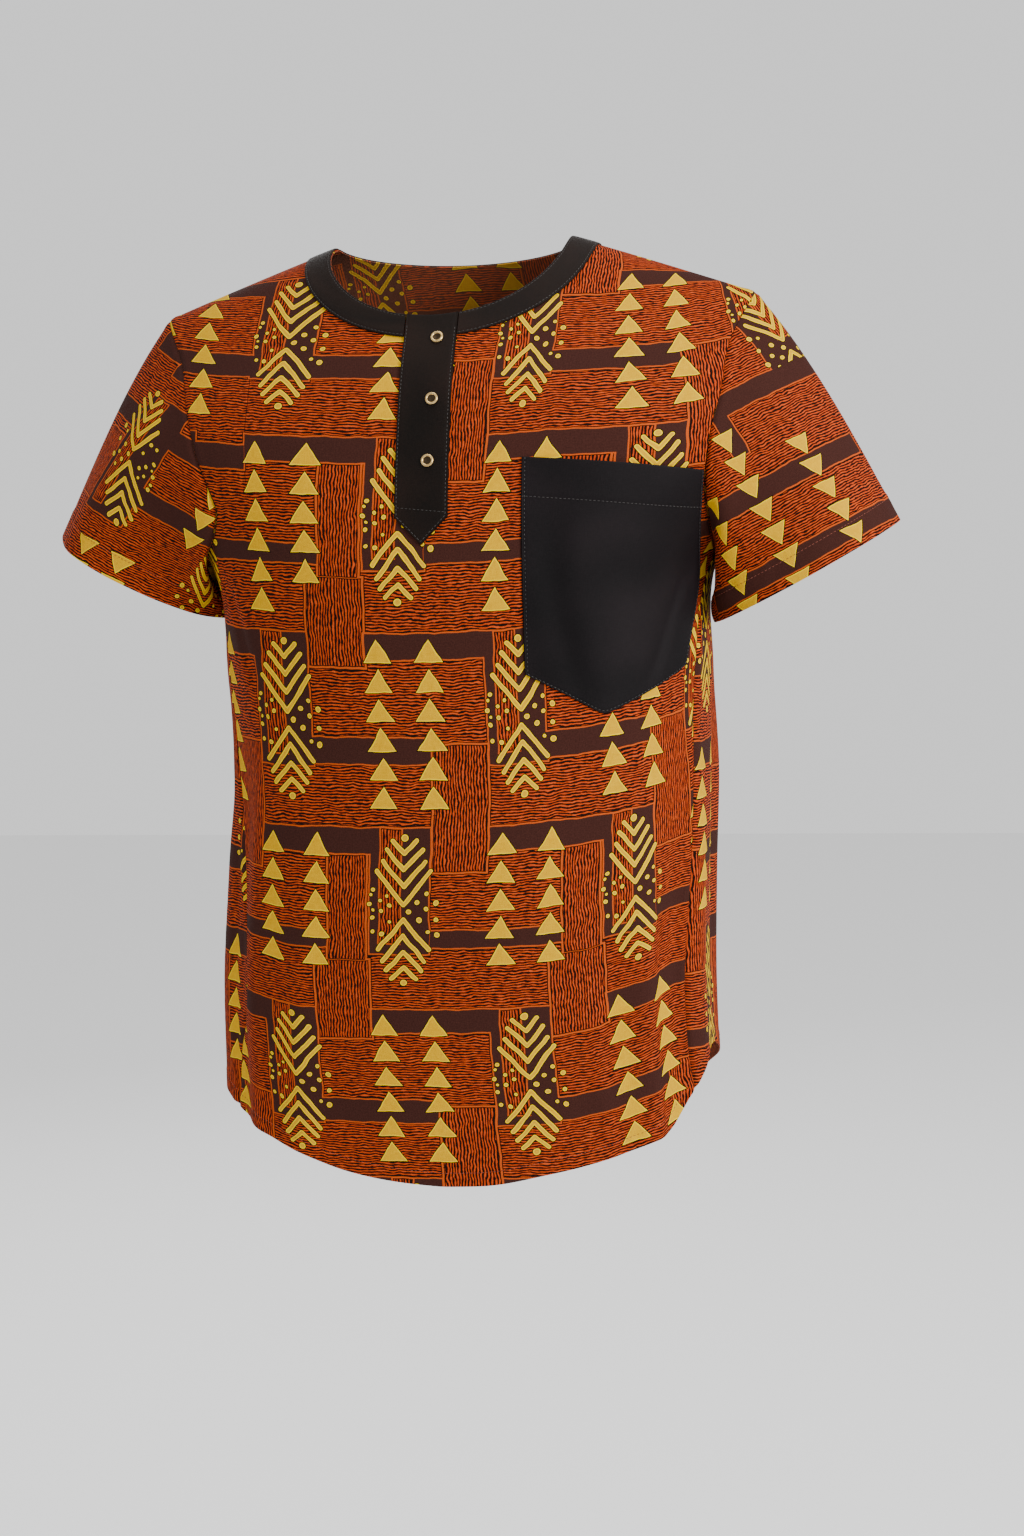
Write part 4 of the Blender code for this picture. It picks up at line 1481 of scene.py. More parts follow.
    def half(self, side: Side) -> tuple[np.ndarray, np.ndarray]:
        """Half the panel, in columns from its centre to its side.

        The columns start at the neck edge and the shoulder seam, spread until they share the
        way from the centre to the side edge evenly, and end at the hem. The rows crowd at the
        shoulder and the underarm.

        Args:
            side: which half.

        Returns:
            Angles and heights.
        """
        tip = FORM.tip_height()
        first = math.asin(self.slit_half / FORM.neck_half) / (np.pi / 2) if self.is_front else 0.0
        neck = np.linspace(first, 1.0, self.neck_steps + 1)
        neck_x = FORM.neck_half * np.sin(neck * np.pi / 2)
        tip_edge = np.radians(self.front_armhole[0].left)
        neck_part = FORM.angle_at(neck_x, self.neck_height(neck)) / tip_edge
        shoulder_part = np.linspace(neck_part[-1], 1.0, self.shoulder_steps + 1)[1:]
        top_share = np.concatenate([neck_part, shoulder_part])
        shoulder = FORM.bare(shoulder_part * tip_edge, np.full(self.shoulder_steps, tip))
        top_z = np.concatenate([self.neck_height(neck), FORM.ridge(shoulder[:, 0])])
        even = np.linspace(top_share[0], 1.0, len(top_share))
        close = even + (1 - even) * self.side_close * ramp(even, self.close_from, 1.0)
        hem_angle = self.from_centre(close, self.edge_angle(np.array(self.side_hem), side))
        hem_z = smooth_table(np.degrees(hem_angle), self.hem, 1 if side is Side.LEFT else 2)

        split = (tip - self.underarm) / (tip - hem_z[-1])
        steps = np.arange(self.armhole_steps + 1) / self.armhole_steps
        upper = split * (1 - np.cos(np.pi * steps)) / 2
        down = np.arange(1, self.side_steps + 1) / self.side_steps
        spaced = self.even_side_rows * down + (1 - self.even_side_rows) * np.sin(down * np.pi / 2)
        rows = np.concatenate([upper, split + (1 - split) * spaced])[:, None]
        height = top_z[None, :] + (hem_z - top_z)[None, :] * rows
        settle = 1 - (1 - np.clip(rows / self.fan_depth, 0.0, 1.0))**2
        share = top_share[None, :] * (1 - settle) + close[None, :] * settle
        return self.from_centre(share, self.edge_angle(height, side)), height

    def grid(self) -> tuple[np.ndarray, np.ndarray]:
        """The whole panel, from the wearer's right to the wearer's left.

        Returns:
            Angles and heights.
        """
        left_angle, left_height = self.half(Side.LEFT)
        right_angle, right_height = self.half(Side.RIGHT)
        start = 0 if self.is_front else 1
        angle = np.concatenate([-right_angle[:, ::-1], left_angle[:, start:]], axis=1)
        height = np.concatenate([right_height[:, ::-1], left_height[:, start:]], axis=1)
        clear = CLOTH.seam_gap / 2 / FORM.side_radius * self.sign
        angle[:, -1] -= clear
        angle[:, 0] += clear
        return angle, height

    def flat_cut(self) -> np.ndarray:
        """Flat coordinates of the print: cloth across from the centre, and cloth down.

        Returns:
            Two lengths for each point. On the front they take in how the drape shifts the print.
        """
        start = 0.0 if self.is_front else math.pi
        turned = self.angle if self.is_front else self.angle % (2 * math.pi)
        across = FORM.girth_to(turned, self.height, start) * self.sign
        down = FORM.drop_to(turned, self.height, self.print_start)
        shift = self.print_shift if self.is_front else self.back_print_shift
        if self.is_front:
            far = ramp(np.degrees(np.abs(self.angle)), *self.drop_angles)
            down = down + self.side_drop * far * ramp(-self.height, *self.drop_levels)
        across, down = across + shift[0], down + shift[1]
        if self.is_front:
            right, lower = drift(across, down)
            across, down = across + right, down + lower
            left, right = self.left_pull.shift(across, down), self.right_pull.shift(-across, down)
            across, down = across - left - right, down - left * self.pull_down
        return np.stack([across, down], axis=-1)

    def surfaces(self) -> tuple[np.ndarray, np.ndarray]:
        """Outer and inner faces with their seams' and hem's relief.

        Returns:
            Points of the two faces.
        """
        walked, lengths = along_rows(self.base), along_columns(self.base)
        self.from_hem = lengths[-1] - lengths
        on_shoulder = np.abs(self.base[0, :, 0]) > FORM.neck_half + self.shoulder_clear
        relief = (CLOTH.seam_relief(np.minimum(walked, walked[:, -1:] - walked))
                  + CLOTH.hem_relief(self.from_hem, walked, self.hem_deep)
                  + CLOTH.seam_relief(lengths) * on_shoulder)
        self.outer = self.base + self.outward * relief[..., None]
        return self.outer, self.outer - self.outward * CLOTH.thickness

    def build(self) -> bpy.types.Object:
        """Make the panel, with a slit down the front one, and dress it.

        Returns:
            The panel.
        """
        outer, inner = self.surfaces()
        keep = np.ones((outer.shape[0] - 1, outer.shape[1] - 1), bool)
        if self.is_front:
            middle = (outer.shape[1] - 1) // 2
            keep[self.height[1:, middle] > self.slit_end, middle] = False
        piece = shell("shirt_" + self.face.value, outer, inner, self.flat_cut(), keep)
        return dressed(piece, self.face.value, PrintCotton(),
                       PrintCotton(name="printed_cotton_inside", wrong_side=True))


class SleeveFold(NamedTuple):
    """A fold down a sleeve: degrees round it, width in degrees, height, and where it runs."""

    where: float
    width: float
    rise: float
    start: float
    end: float


@dataclass
class Sleeve(Hemmed):
    """A set-in short sleeve, from the armhole to its turned hem."""

    side: Side
    front: Panel
    back: Panel
    rows: int = 72
    hem_deep: float = 20.0 * MM
    lean: float = 27.4
    half_deep: float = 0.0640
    set_back: float = 0.002
    point: float = 1.25
    front_dip: float = 4.0
    gap: float = 0.4 * MM
    spread: float = 0.12
    over: tuple[float, float] = (0.64, -0.77)
    under: tuple[float, float] = (0.45, -0.89)
    print_stretch: float = 1.12
    seam_share: float = 0.8
    under_seam: float = 0.4 * MM
    fold_in: float = 0.35
    fold_out: float = 1.4
    folds: tuple[SleeveFold, ...] = (
        SleeveFold(52.0, 16.0, 0.0040, 0.05, 1.0),
        SleeveFold(96.0, 15.0, -0.0030, 0.05, 0.9),
        SleeveFold(138.0, 15.0, 0.0035, 0.10, 1.0),
        SleeveFold(228.0, 16.0, 0.0035, 0.10, 1.0),
        SleeveFold(300.0, 18.0, 0.0030, 0.05, 0.9),
    )

    def hem_ring(self) -> tuple[float, float, float]:
        """Distance of the hem ring's centre from the centre line, its height, its half length."""
        return (0.2575, -0.2505, 0.0775) if self.side is Side.LEFT else (0.2535, -0.2405, 0.0755)

    def armhole(self) -> Line:
        """The armhole, from the underarm up the back edge, over the tip and down the front.

        Returns:
            Points and outward directions of the panels there.
        """
        column = -1 if self.side is Side.LEFT else 0
        last = self.front.armhole_steps + 1
        loops = []
        for front, back in ((self.front.base, self.back.base), (self.front.outward, self.back.outward)):
            front, back = front[:last, column], back[:last, column]
            tip, pit = (front[0] + back[0]) / 2, (front[-1] + back[-1]) / 2
            loops.append(np.concatenate([[pit], back[-2:0:-1], [tip], front[1:-1], [pit]]))
        return loops[0], loops[1]

    def angles(self, loop: np.ndarray) -> tuple[np.ndarray, np.ndarray]:
        """Angles of the columns round the sleeve, 0 at its top.

        Args:
            loop: points of the armhole.

        Returns:
            Angles by length along the armhole, and their means with even ones.
        """
        count = len(loop) - 1
        tip = count // 2
        walked = along_path(loop)
        behind = -np.pi * (1 - walked / walked[tip])
        before = np.pi * (walked - walked[tip]) / (walked[-1] - walked[tip])
        place = np.arange(count + 1) - tip
        by_length = np.where(place <= 0, behind, before)
        return by_length, (by_length + place * 2 * np.pi / count) / 2

    def tube(self, loop: np.ndarray, by_length: np.ndarray, turn: np.ndarray,
             t: np.ndarray) -> np.ndarray:
        """Bare sleeve: each column is a cubic from the armhole to a flattened hem ring.

        It leaves the armhole outwards and down, and meets the ring square on.

        Args:
            loop: points of the armhole.
            by_length: the columns' angles at the armhole.
            turn: the columns' angles at the hem.
            t: the rows' shares of the way.

        Returns:
            Points, rows by columns.
        """
        sign = self.side.value
        lean, dip = math.radians(self.lean), math.radians(self.front_dip)
        hem_x, hem_z, half_long = self.hem_ring()
        self.centre = np.array([sign * hem_x, self.set_back, hem_z])
        self.axis = np.array([sign * math.sin(lean), 0.0, -math.cos(lean)])
        long_axis = np.array([sign * math.cos(lean), 0.0, math.sin(lean)])
        deep_axis = np.array([0.0, -math.cos(dip), 0.0]) + self.axis * math.sin(dip)
        depth = self.half_deep * np.sign(np.sin(turn)) * np.abs(np.sin(turn))**self.point
        hem = (self.centre + long_axis * half_long * np.cos(turn)[:, None]
               + deep_axis * depth[:, None])
        top = (1 + np.cos(by_length))[:, None] / 2
        over, under = (np.array([sign * out, 0.0, up]) for out, up in (self.over, self.under))
        leave = over * top + under * (1 - top)
        leave[:, 1] -= self.spread * np.sin(by_length)
        leave = unit(leave)
        start = loop + leave * self.gap
        chord = np.linalg.norm(hem - start, axis=1)[:, None]
        return cubic(t, start, leave * chord, hem, self.axis * chord)

    def fold_rise(self, degrees: np.ndarray, down: np.ndarray) -> np.ndarray:
        """Sum of the folds: each is a bell round the sleeve that fades in and out along it.

        Args:
            degrees: the columns' angles.
            down: the rows' shares of the way to the hem.

        Returns:
            How far the folds lift the cloth.
        """
        rise = np.zeros(np.broadcast(degrees, down).shape)
        for fold in self.folds:
            near = (degrees - fold.where + 180.0) % 360.0 - 180.0
            fade_in = ramp(down, fold.start, fold.start + self.fold_in)
            fade_out = 1 - ramp(down, fold.end, self.fold_out)
            rise = rise + fold.rise * fade_in * fade_out * hump(near, 0.0, fold.width)
        return rise

    def surfaces(self) -> tuple[np.ndarray, np.ndarray]:
        """Outer and inner faces: the bare sleeve with its folds, seams and hem.

        Returns:
            Points of the two faces.
        """
        loop, panel_out = self.armhole()
        by_length, turn = self.angles(loop)
        t = ((1 - np.cos(np.pi * np.arange(self.rows + 1) / self.rows)) / 2)[:, None, None]
        grid = self.tube(loop, by_length, turn, t)
        around = np.empty_like(grid)
        around[:, 1:-1] = grid[:, 2:] - grid[:, :-2]
        around[:, 0] = around[:, -1] = grid[:, 1] - grid[:, -2]
        normal = unit(np.cross(around, np.gradient(grid, axis=0)) * self.side.value)
        match = ((1 + np.cos(by_length))[:, None] / 2)**2 * (t == 0)
        self.outward = unit(normal * (1 - match) + panel_out * match)
        folds = self.fold_rise(np.degrees(turn) % 360.0, t[..., 0])
        rough = grid + self.outward * folds[..., None]
        lengths, ring = along_columns(rough), along_rows(rough)
        self.from_hem = lengths[-1] - lengths
        from_seam = np.minimum(ring, ring[:, -1:] - ring)
        relief = (CLOTH.seam_relief(lengths) * self.seam_share
                  + CLOTH.hem_relief(self.from_hem, ring, self.hem_deep)
                  - self.under_seam * hump(from_seam, 0.0, CLOTH.seam_width))
        self.outer = rough + self.outward * relief[..., None]
        for edge, beside in ((0, 1), (-1, -2)):
            inward = unit(self.outer[:, beside] - self.outer[:, edge])
            self.outer[:, edge] += inward * CLOTH.seam_gap / 2
        return self.outer, self.outer - self.outward * CLOTH.thickness

    def flat_cut(self) -> np.ndarray:
        """Flat coordinates of the print, upside down: cloth round the hem, cloth up from it.

        Returns:
            Two lengths for each point.
        """
        ring = along_rows(self.outer)
        hem = ring[-1] - ring[-1, len(ring[-1]) // 2]
        up = (self.centre - self.outer) @ self.axis
        across = np.broadcast_to(hem, up.shape)
        return np.stack([across * self.side.value, up * self.print_stretch], axis=-1)

    def build(self) -> bpy.types.Object:
        """Make the sleeve and dress it.

        Returns:
            The sleeve.
        """
        outer, inner = self.surfaces()
        name = self.side.name.lower()
        piece = shell("shirt_sleeve_" + name, outer, inner, self.flat_cut())
        chart = LEFT_SLEEVE_PRINT if self.side is Side.LEFT else RIGHT_SLEEVE_PRINT
        cotton = "printed_cotton_" + name + "_sleeve"
        return dressed(piece, "sleeve_" + name, PrintCotton(cotton, chart),
                       PrintCotton(cotton + "_inside", chart, wrong_side=True))


@dataclass(frozen=True)
class Layer:
    """How a black piece lies on the front: its distance from the panel and its soft edges."""

    gap: float = 0.5 * MM
    thickness: float = 1.3 * MM
    edge_round: float = 1.1 * MM
    edge_share: float = 0.25
    groove_dip: float = 0.35 * MM
    groove_width: float = 0.7 * MM
    thread_in: float = 0.3 * MM

    def rise(self, from_edge: np.ndarray) -> np.ndarray:
        """Height of the outer face over the panel: a quarter round at the edge, then level."""
        arc = np.sqrt(1 - (1 - np.clip(from_edge / self.edge_round, 0.0, 1.0))**2)
        return self.gap + self.thickness * (self.edge_share + (1 - self.edge_share) * arc)

    def groove(self, from_edge: np.ndarray, stitch_in: float) -> np.ndarray:
        """The trough that a row of stitches presses in, below 0."""
        return -self.groove_dip * hump(from_edge, stitch_in, self.groove_width)

    def thread_level(self) -> float:
        """Height of the trough's bottom over the panel, where the thread lies."""
        return self.gap + self.thickness - self.thread_in


@dataclass
class Neckband:
    """Flat band on the outside of the neck edge, its ends against the placket."""

    front: Panel
    back: Panel
    width: float = 0.020
    front_fall: float = 0.80
    back_fall: float = 0.62
    placket_half: float = 0.0195
    edge_rows: tuple[float, ...] = (0.0, 0.12, 0.35, 0.7, 1.1, 1.6, 2.1, 3.0)
    first_even_row: float = 4.5 * MM
    even_rows: int = 6
    steps: int = 110
    layer: Layer = Layer(thickness=1.25 * MM)
    stitch_in: float = 1.6 * MM

    def rows(self) -> np.ndarray:
        """Distances from the neck edge, crowded at both edges of the band."""
        edge = np.array(self.edge_rows) * MM
        middle = np.linspace(self.first_even_row, self.width - self.first_even_row, self.even_rows)
        return np.concatenate([edge, middle, self.width - edge[::-1]])

    def place(self, across: np.ndarray) -> tuple[np.ndarray, np.ndarray]:
        """Lines that run round the neck, from the placket round the back to the placket again.

        In plan they are circles. In height they fall from the shoulder seam as a power of the
        cosine, at the front and at the back.

        Args:
            across: the lines' distances from the neck edge.

        Returns:
            Angles and heights.
        """
        across = across[:, None]
        radius = FORM.neck_half + across
        first = np.arcsin((self.placket_half + CLOTH.seam_gap) / radius)
        even = np.linspace(0.0, 1.0, self.steps + 1)[None, :]
        step = (even + np.sin(even * np.pi / 2)) / 2
        seam_z = FORM.ridge(radius)
        curve = self.front.neck_curve
        front_turn = first + (np.pi / 2 - first) * step
        front_low = -self.front.front_neck_drop - across * self.front_fall
        front_z = seam_z + (front_low - seam_z) * np.cos(front_turn)**curve
        front_angle = FORM.angle_at(radius * np.sin(front_turn), front_z)
        back_turn = (np.pi / 2) * (1 - step[:, 1:])
        back_low = -self.front.back_neck_drop - across * self.back_fall
        back_z = seam_z + (back_low - seam_z) * np.cos(back_turn)**curve
        back_angle = np.pi - FORM.angle_at(radius * np.sin(back_turn), back_z)
        angle = np.concatenate([front_angle, back_angle], axis=1)
        height = np.concatenate([front_z, back_z], axis=1)
        return (np.concatenate([angle, 2 * np.pi - angle[:, -2::-1]], axis=1),
                np.concatenate([height, height[:, -2::-1]], axis=1))

    def build(self) -> bpy.types.Object:
        """Make the band and dress it.

        Returns:
            The band.
        """
        rows = self.rows()
        angle, height = self.place(rows)
        edge = np.minimum(rows, self.width - rows)[:, None] + 0.0 * angle
        outer = FORM.skin(angle, height, self.layer.rise(edge) + self.layer.groove(edge, self.stitch_in))
        inner = FORM.skin(angle, height, self.layer.gap)
        cut = np.stack([along_rows(outer), rows[:, None] + 0.0 * angle], axis=-1)
        piece = shell("shirt_neckband", outer, inner, cut)
        return dressed(piece, "neckband", PlainCotton(), PlainCotton())

    def stitch_lines(self) -> list[Line]:
        """Two rows of stitches, one near each edge."""
        angle, height = self.place(np.array([self.stitch_in, self.width - self.stitch_in]))
        points = FORM.skin(angle, height, self.layer.thread_level())
        return list(zip(points, FORM.normal(angle, height)))


@dataclass
class Patch:
    """A black piece that lies on the front: angles and heights on a grid, and its edge distance."""

    node: str
    finish: Finish
    layer: Layer
    angle: np.ndarray
    height: np.ndarray
    from_edge: np.ndarray
    relief: np.ndarray

    def build(self) -> bpy.types.Object:
        """Make the piece as a wall with soft edges.

        Returns:
            The piece.
        """
        outer = FORM.skin(self.angle, self.height, self.layer.rise(self.from_edge) + self.relief)
        inner = FORM.skin(self.angle, self.height, self.layer.gap)
        cut = np.stack([along_rows(outer), along_columns(outer)], axis=-1)
        piece = shell("shirt_" + self.node, outer, inner, cut)
        return dressed(piece, self.node, self.finish, self.finish)


def on_front(x: np.ndarray, z: np.ndarray, out: float) -> Line:
    """Points over the front at distances from centre front and heights, with directions."""
    angle = FORM.angle_at(x, z)
    return FORM.skin(angle, z, out), FORM.normal(angle, z)


@dataclass
class Placket:
    """Pointed placket down centre front, and the plain strip behind the slit."""

    front: Panel
    half: float = 0.0195
    shoulder: float = -0.2003
    tip: float = -0.2200
    columns: int = 30
    rows: int = 90
    layer: Layer = Layer(thickness=1.5 * MM)
    stitch_in: float = 1.7 * MM
    stitch_top: float = -0.0640
    shoulder_in: float = 0.4
    cross_line: float = -0.1935
    cross_slope: float = 0.10
    cross_dip: float = 0.4335 * MM
    cross_width: float = 0.9 * MM
    top_edge: float = 0.002
    under_half: float = 0.015
    under_gap: float = 0.8 * MM
    under_thickness: float = 1.0 * MM
    under_columns: int = 12
    under_rows: int = 40
    evenness: float = 0.45
    line_step: float = 0.8 * MM

    def top(self, x: np.ndarray) -> np.ndarray:
        """Height of the neck edge at distances from centre front."""
        return self.front.neck_height(np.arcsin(np.abs(x) / FORM.neck_half) / (np.pi / 2))

    def build(self) -> bpy.types.Object:
        """Make the placket, with grooves under its stitches.

        Returns:
            The placket.
        """
        across = crowded(self.columns, self.evenness)[None, :]
        down = ((crowded(self.rows, self.evenness) + 1) / 2)[:, None]
        x = self.half * across + 0.0 * down
        top = self.top(x)
        foot = self.tip + (self.shoulder - self.tip) * np.abs(across)
        height = top + (foot - top) * down
        slant = (self.shoulder - self.tip) / self.half
        from_foot = (height - foot) / math.hypot(1.0, slant)
        edge = np.minimum(np.minimum(self.half - np.abs(x), from_foot), self.top_edge + (top - height))
        cross = self.cross_line - self.cross_slope * (x + self.half)
        grooves = (self.layer.groove(edge, self.stitch_in)
                   - self.cross_dip * hump(height, cross, self.cross_width))
        return Patch("placket", PlainCotton(), self.layer, FORM.angle_at(x, height), height, edge,
                     grooves).build()

    def build_under(self) -> bpy.types.Object:
        """Make the strip behind the slit.

        Returns:
            The strip.
        """
        across = np.linspace(-1.0, 1.0, self.under_columns + 1)[None, :]
        down = np.linspace(0.0, 1.0, self.under_rows + 1)[:, None]
        x = self.under_half * across + 0.0 * down
        top = self.top(x)
        height = top + (self.shoulder - top) * down
        angle = FORM.angle_at(x, height)
        behind = -CLOTH.thickness - self.under_gap
        piece = shell("shirt_placket_under", FORM.skin(angle, height, behind),
                      FORM.skin(angle, height, behind - self.under_thickness),
                      np.stack([x, top - height], axis=-1))
        return dressed(piece, "placket_under", PlainCotton(), PlainCotton())

    def stitch_lines(self) -> list[Line]:
        """Down one edge, round the point, up the other edge, and the line across the foot.

        Returns:
            The two lines.
        """
        side = self.half - self.stitch_in
        low = self.tip + self.stitch_in * math.hypot(1.0, (self.shoulder - self.tip) / self.half)
        shoulder = self.shoulder + self.stitch_in * self.shoulder_in
        round_edge = np.array([(-side, self.stitch_top), (-side, shoulder), (0.0, low),
                               (side, shoulder), (side, self.stitch_top)])
        fall = self.cross_slope * 2 * self.half
        lines = []
        for path in (round_edge, np.array([(-side, self.cross_line), (side, self.cross_line - fall)])):
            walked = along_path(path)
            spot = np.linspace(0.0, walked[-1], int(walked[-1] / self.line_step))
            x, z = (np.interp(spot, walked, column) for column in path.T)
            lines.append(on_front(x, z, self.layer.thread_level()))
        return lines


@dataclass
class Pocket:
    """Five-sided patch pocket on the wearer's left chest, with a turned and stitched mouth."""

    inner_edge: tuple[tuple[float, float], tuple[float, float]] = ((0.0715, -0.1605), (0.0702, -0.3140))
    outer_edge: tuple[tuple[float, float], tuple[float, float]] = ((0.1938, -0.1735), (0.1738, -0.3140))
    point_drop: float = 0.0295
    point_at: float = 0.39
    columns: int = 84
    rows: int = 100
    layer: Layer = Layer(thickness=1.2 * MM)
    mouth: float = 28.0 * MM
    stitch_in: float = 1.8 * MM
    corner: float = 5.0 * MM
    point_round: float = 0.05
    mouth_gape: float = 1.2 * MM
    gape_depth: float = 35.0 * MM
    mouth_edge: float = 0.3 * MM
    mouth_dip: float = 0.4 * MM
    mouth_dip_width: float = 0.9 * MM
    turning: float = 0.35 * MM
    turning_step: float = 1.5 * MM
    mean_width: float = 0.125
    mean_depth: float = 0.155
    evenness: float = 0.40
    line_steps: int = 220
    doubled_share: float = 0.2

    def place(self, across: np.ndarray, down: np.ndarray) -> tuple[np.ndarray, np.ndarray]:
        """Place of points on the pocket.

        Each level runs from the inner edge to the outer edge. The foot's corners are drawn in
        on a quarter circle, and its point is a fold with a small round.

        Args:
            across: shares of the pocket's width, from its inner edge.
            down: shares of its depth, from its mouth.

        Returns:
            Angles and heights.
        """
        edges = []
        for (top_x, top_z), (low_x, low_z) in (self.inner_edge, self.outer_edge):
            z = top_z + (low_z - top_z) * down
            edges.append((FORM.angle_at(top_x + (low_x - top_x) * down, z), z))
        (inner_angle, inner_z), (outer_angle, outer_z) = edges
        deep = self.inner_edge[0][1] - self.inner_edge[1][1]
        from_foot = np.clip((1 - down) * deep / self.corner, 0.0, 1.0)
        draw_in = self.corner * (1 - np.sqrt(1 - (1 - from_foot)**2)) / self.mean_width
        share = np.where(down > 0.5, 0.5 + (across - 0.5) * (1 - draw_in * 0.5), across)
        angle = inner_angle + (outer_angle - inner_angle) * share
        side = np.where(across < self.point_at, self.point_at, 1 - self.point_at)
        off = (across - self.point_at) / side
        soft = self.point_round
        point = 1 - (np.hypot(off, soft) - soft) / (math.hypot(1.0, soft) - soft)
        return angle, inner_z + (outer_z - inner_z) * across - self.point_drop * point * down

    def build(self) -> bpy.types.Object:
        """Make the pocket, with its grooves, its doubled mouth and the mouth's slight gape.

        Returns:
            The pocket.
        """
        across = ((crowded(self.columns, self.evenness) + 1) / 2)[None, :]
        down = ((crowded(self.rows, self.evenness) + 1) / 2)[:, None]
        angle, height = self.place(across + 0.0 * down, down + 0.0 * across)
        flat = FORM.skin(angle, height, self.layer.gap)
        walked, dropped = along_rows(flat), along_columns(flat)
        from_sewn = np.minimum(np.minimum(walked, walked[:, -1:] - walked), dropped[-1] - dropped)
        edge = np.minimum(from_sewn, dropped + self.mouth_edge)
        mouth_dip = self.mouth_dip * hump(dropped, self.mouth, self.mouth_dip_width)
        double = self.turning * (1 - ramp(dropped, self.mouth, self.mouth + self.turning_step))
        gape = self.mouth_gape * np.sin(np.pi * across)**2 * np.exp(-dropped / self.gape_depth)
        relief = self.layer.groove(from_sewn, self.stitch_in) - mouth_dip + double + gape
        outer = FORM.skin(angle, height, self.layer.rise(edge) + relief)
        self.mouth_line = line_at(outer, FORM.normal(angle, height), -dropped, -self.mouth)
        cotton = PlainCotton(name="pocket_cotton", dark="030102", light="140E10")
        return Patch("pocket", cotton, self.layer, angle, height, edge, relief).build()

    def stitch_lines(self) -> list[Line]:
        """Down one side, round the foot and up the other, and the line under the mouth.

        Returns:
            The two lines.
        """
        inset, low = self.stitch_in / self.mean_width, 1 - self.stitch_in / self.mean_depth
        run = np.linspace(0.0, 1.0, self.line_steps)
        still = np.ones(self.line_steps)
        across = np.concatenate([still * inset, inset + run * (1 - 2 * inset), still * (1 - inset)])
        down = np.concatenate([run * low, still * low, (1 - run) * low])
        angle, height = self.place(across, down)
        out = self.layer.thread_level() + self.turning * (down < self.doubled_share)
        return [(FORM.skin(angle, height, out), FORM.normal(angle, height)), self.mouth_line]


@dataclass(frozen=True)
class Snap:
    """A ring snap: a rounded brass ring round a dished middle of near-black brass, darkened as painted
    shade of its recess.
    """

    node: str
    across: float
    level: float
    outer: float = 4.75 * MM
    inner: float = 2.7 * MM
    height: float = 1.35 * MM
    seat: float = 2.35 * MM
    sunk: float = 0.2 * MM
    arch_power: float = 0.8
    dish: tuple[tuple[float, float], ...] = ((0.02, 0.10), (1.0, 0.14), (1.7, 0.42), (2.6, 0.50),
                                             (2.6, -0.10), (0.02, -0.10))
    segments: int = 48
    arch_steps: int = 13

    def turned(self, name: str, profile: np.ndarray, finish: Finish) -> bpy.types.Object:
        """Turn a closed profile of radius and height round the snap's axis.

        Args:
            name: the object's name.
            profile: rows of radius and height, joined end to start.
            finish: the material.

        Returns:
            The object, in its place on the placket.
        """
        turn = np.arange(self.segments) * 2 * np.pi / self.segments
        radius, rise = profile[:, :1], profile[:, 1:]
        local = np.stack([radius * np.cos(turn), radius * np.sin(turn), rise + 0.0 * turn], axis=-1)
        points, outward = on_front(np.array([self.across]), np.array([self.level]), self.seat)
        facing = outward[0]
        side = unit(np.cross(np.array([0.0, 0.0, 1.0]), facing))
        up = np.cross(facing, side)
        placed = (points[0] + local @ np.array([side, up, facing])).reshape(-1, 3)
        index = np.arange(len(placed)).reshape(-1, self.segments)
        below, beside = np.roll(index, -1, axis=0), np.roll(index, -1, axis=1)
        faces = np.stack([index, beside, np.roll(below, -1, axis=1), below], axis=-1).reshape(-1, 4)
        piece = finished(name, placed, facing_out(placed, faces).tolist())
        piece.data.materials.append(finish.material())
        return piece

    def build(self) -> list[bpy.types.Object]:
        """Make the ring, a rounded arch turned round, and its dished middle.

        Returns:
            The two pieces.
        """
        middle, half = (self.outer + self.inner) / 2, (self.outer - self.inner) / 2
        bend = np.linspace(0.0, np.pi, self.arch_steps)
        arch = np.stack([middle - half * np.cos(bend), self.height * np.sin(bend)**self.arch_power], axis=1)
        base = np.array([(self.outer, -self.sunk), (self.inner, -self.sunk)])
        ring = self.turned(self.node + "_ring", np.concatenate([arch, base]), AntiqueBrass())
        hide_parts(self.node)
        # the middle's near-black brass is painted shade of the dished recess
        recess = AntiqueBrass(name="snap_middle_painted_shade", bright="4A3C2A", dull="241C14", roughness=0.4)
        return [ring, self.turned(self.node + "_middle", np.array(self.dish) * MM, recess)]


class Softbox(NamedTuple):
    """Square area light: its place, its side in metres and its power in watts."""

    name: str
    place: tuple[float, float, float]
    size: float
    power: float


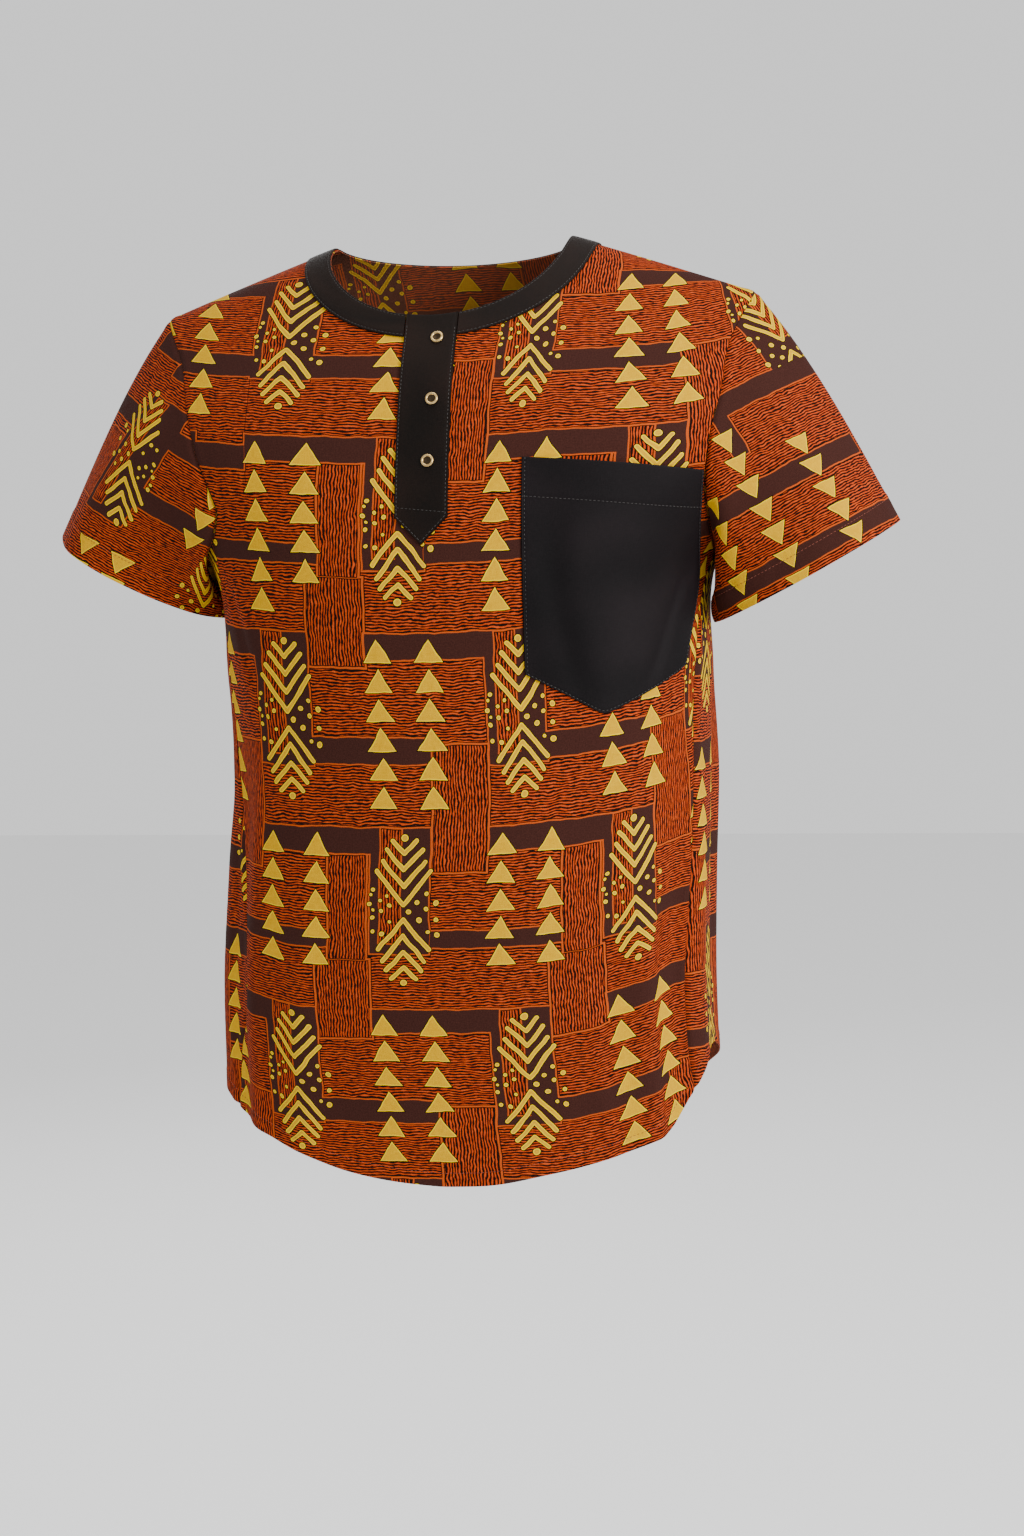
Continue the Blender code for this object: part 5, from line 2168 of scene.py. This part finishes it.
@dataclass(frozen=True)
class Studio:
    """Camera, soft lights and pale floor."""

    azimuth: float = 12.5
    distance: float = 1.95
    shift_right: float = -0.030
    camera_height: float = -0.173
    tilt_down: float = 6.5
    roll: float = -1.9
    view_angle: float = 33.3
    sensor: float = 36.0
    far: float = 60.0
    aim_height: float = -0.35
    floor_height: float = -1.45
    floor_half: float = 7.0
    softboxes: tuple[Softbox, ...] = (
        Softbox("key", (2.7, -1.6, 0.9), 1.2, 165.0),
        Softbox("fill", (-2.4, -2.0, 0.3), 2.0, 12.0),
        Softbox("top", (0.2, -0.2, 2.0), 1.2, 26.0),
        Softbox("back", (-1.2, 2.6, 0.8), 1.8, 30.0),
    )

    def camera(self) -> None:
        """Camera at the portrait's angle: level aim, then tilt, then a small roll."""
        turn, tilt = math.radians(self.azimuth), math.radians(self.tilt_down)
        ahead = Vector((-math.sin(turn), math.cos(turn), 0.0))
        right = Vector((math.cos(turn), math.sin(turn), 0.0))
        data = bpy.data.cameras.new("portrait")
        data.sensor_width = self.sensor
        data.lens = self.sensor / 2 / math.tan(math.radians(self.view_angle) / 2)
        data.clip_end = self.far
        camera = bpy.data.objects.new("portrait", data)
        bpy.context.scene.collection.objects.link(camera)
        camera.location = (-ahead * self.distance - right * self.shift_right
                           + Vector((0.0, 0.0, self.camera_height)))
        look = ahead * math.cos(tilt) - Vector((0.0, 0.0, 1.0)) * math.sin(tilt)
        aim = look.to_track_quat("-Z", "Y").to_matrix()
        roll = Matrix.Rotation(math.radians(self.roll), 3, "Z")
        camera.rotation_euler = (aim @ roll).to_euler()
        bpy.context.scene.camera = camera

    def light(self, softbox: Softbox) -> None:
        """Place one light, turned to the middle of the shirt."""
        data = bpy.data.lights.new(softbox.name, "AREA")
        data.size = softbox.size
        data.energy = softbox.power
        light = bpy.data.objects.new(softbox.name, data)
        bpy.context.scene.collection.objects.link(light)
        light.location = softbox.place
        aim = Vector((0.0, 0.0, self.aim_height)) - Vector(softbox.place)
        light.rotation_euler = aim.to_track_quat("-Z", "Y").to_euler()

    def build(self) -> None:
        """Place everything that isn't the shirt."""
        self.camera()
        for softbox in self.softboxes:
            self.light(softbox)
        world = bpy.data.worlds.new("studio")
        world.use_nodes = True
        for name, value in (("Color", (1.0, 1.0, 1.0, 1.0)), ("Strength", 1.0)):
            world.node_tree.nodes["Background"].inputs[name].default_value = value
        bpy.context.scene.world = world
        mesh = bpy.data.meshes.new("floor")
        corners = [(x * self.floor_half, y * self.floor_half, self.floor_height)
                   for x, y in ((-1, -1), (1, -1), (1, 1), (-1, 1))]
        mesh.from_pydata(corners, [], [(0, 1, 2, 3)])
        mesh.materials.append(StudioFloor().material())
        floor = bpy.data.objects.new("floor", mesh)
        bpy.context.scene.collection.objects.link(floor)


def main() -> None:
    """Load the frame, make every piece in order, and light it."""
    logging.basicConfig(level=logging.INFO, format="%(message)s")
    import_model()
    front, back = Panel(Face.FRONT), Panel(Face.BACK)
    rust_thread = SewingThread(name="rust_thread", colour="5A2413")
    black_thread = SewingThread()
    sleeves = [Sleeve(side, front, back) for side in Side]
    band, placket, pocket = Neckband(front, back), Placket(front), Pocket()
    pieces = []
    for name, part, thread in (("front", front, rust_thread), ("back", back, rust_thread),
                               ("sleeve_left", sleeves[0], rust_thread),
                               ("sleeve_right", sleeves[1], rust_thread),
                               ("neckband", band, black_thread), ("placket", placket, black_thread),
                               ("pocket", pocket, black_thread)):
        cloth = part.build()
        stitches = Thread().sew(name + "_stitching", part.stitch_lines(), thread)
        CUTS[name].declare(cloth, [stitches])
        pieces += [cloth, stitches]
    under = placket.build_under()
    CUTS["placket_under"].declare(under, [])
    pieces.append(under)
    for snap in (Snap("snap_top", 0.0056, -0.0740), Snap("snap_middle", 0.0056, -0.1178),
                 Snap("snap_bottom", 0.0044, -0.1613)):
        pieces += snap.build()
    for piece in pieces:
        LOG.info("%s: %d faces", piece.name, len(piece.data.polygons))
    Studio().build()


if __name__ == "__main__":
    main()
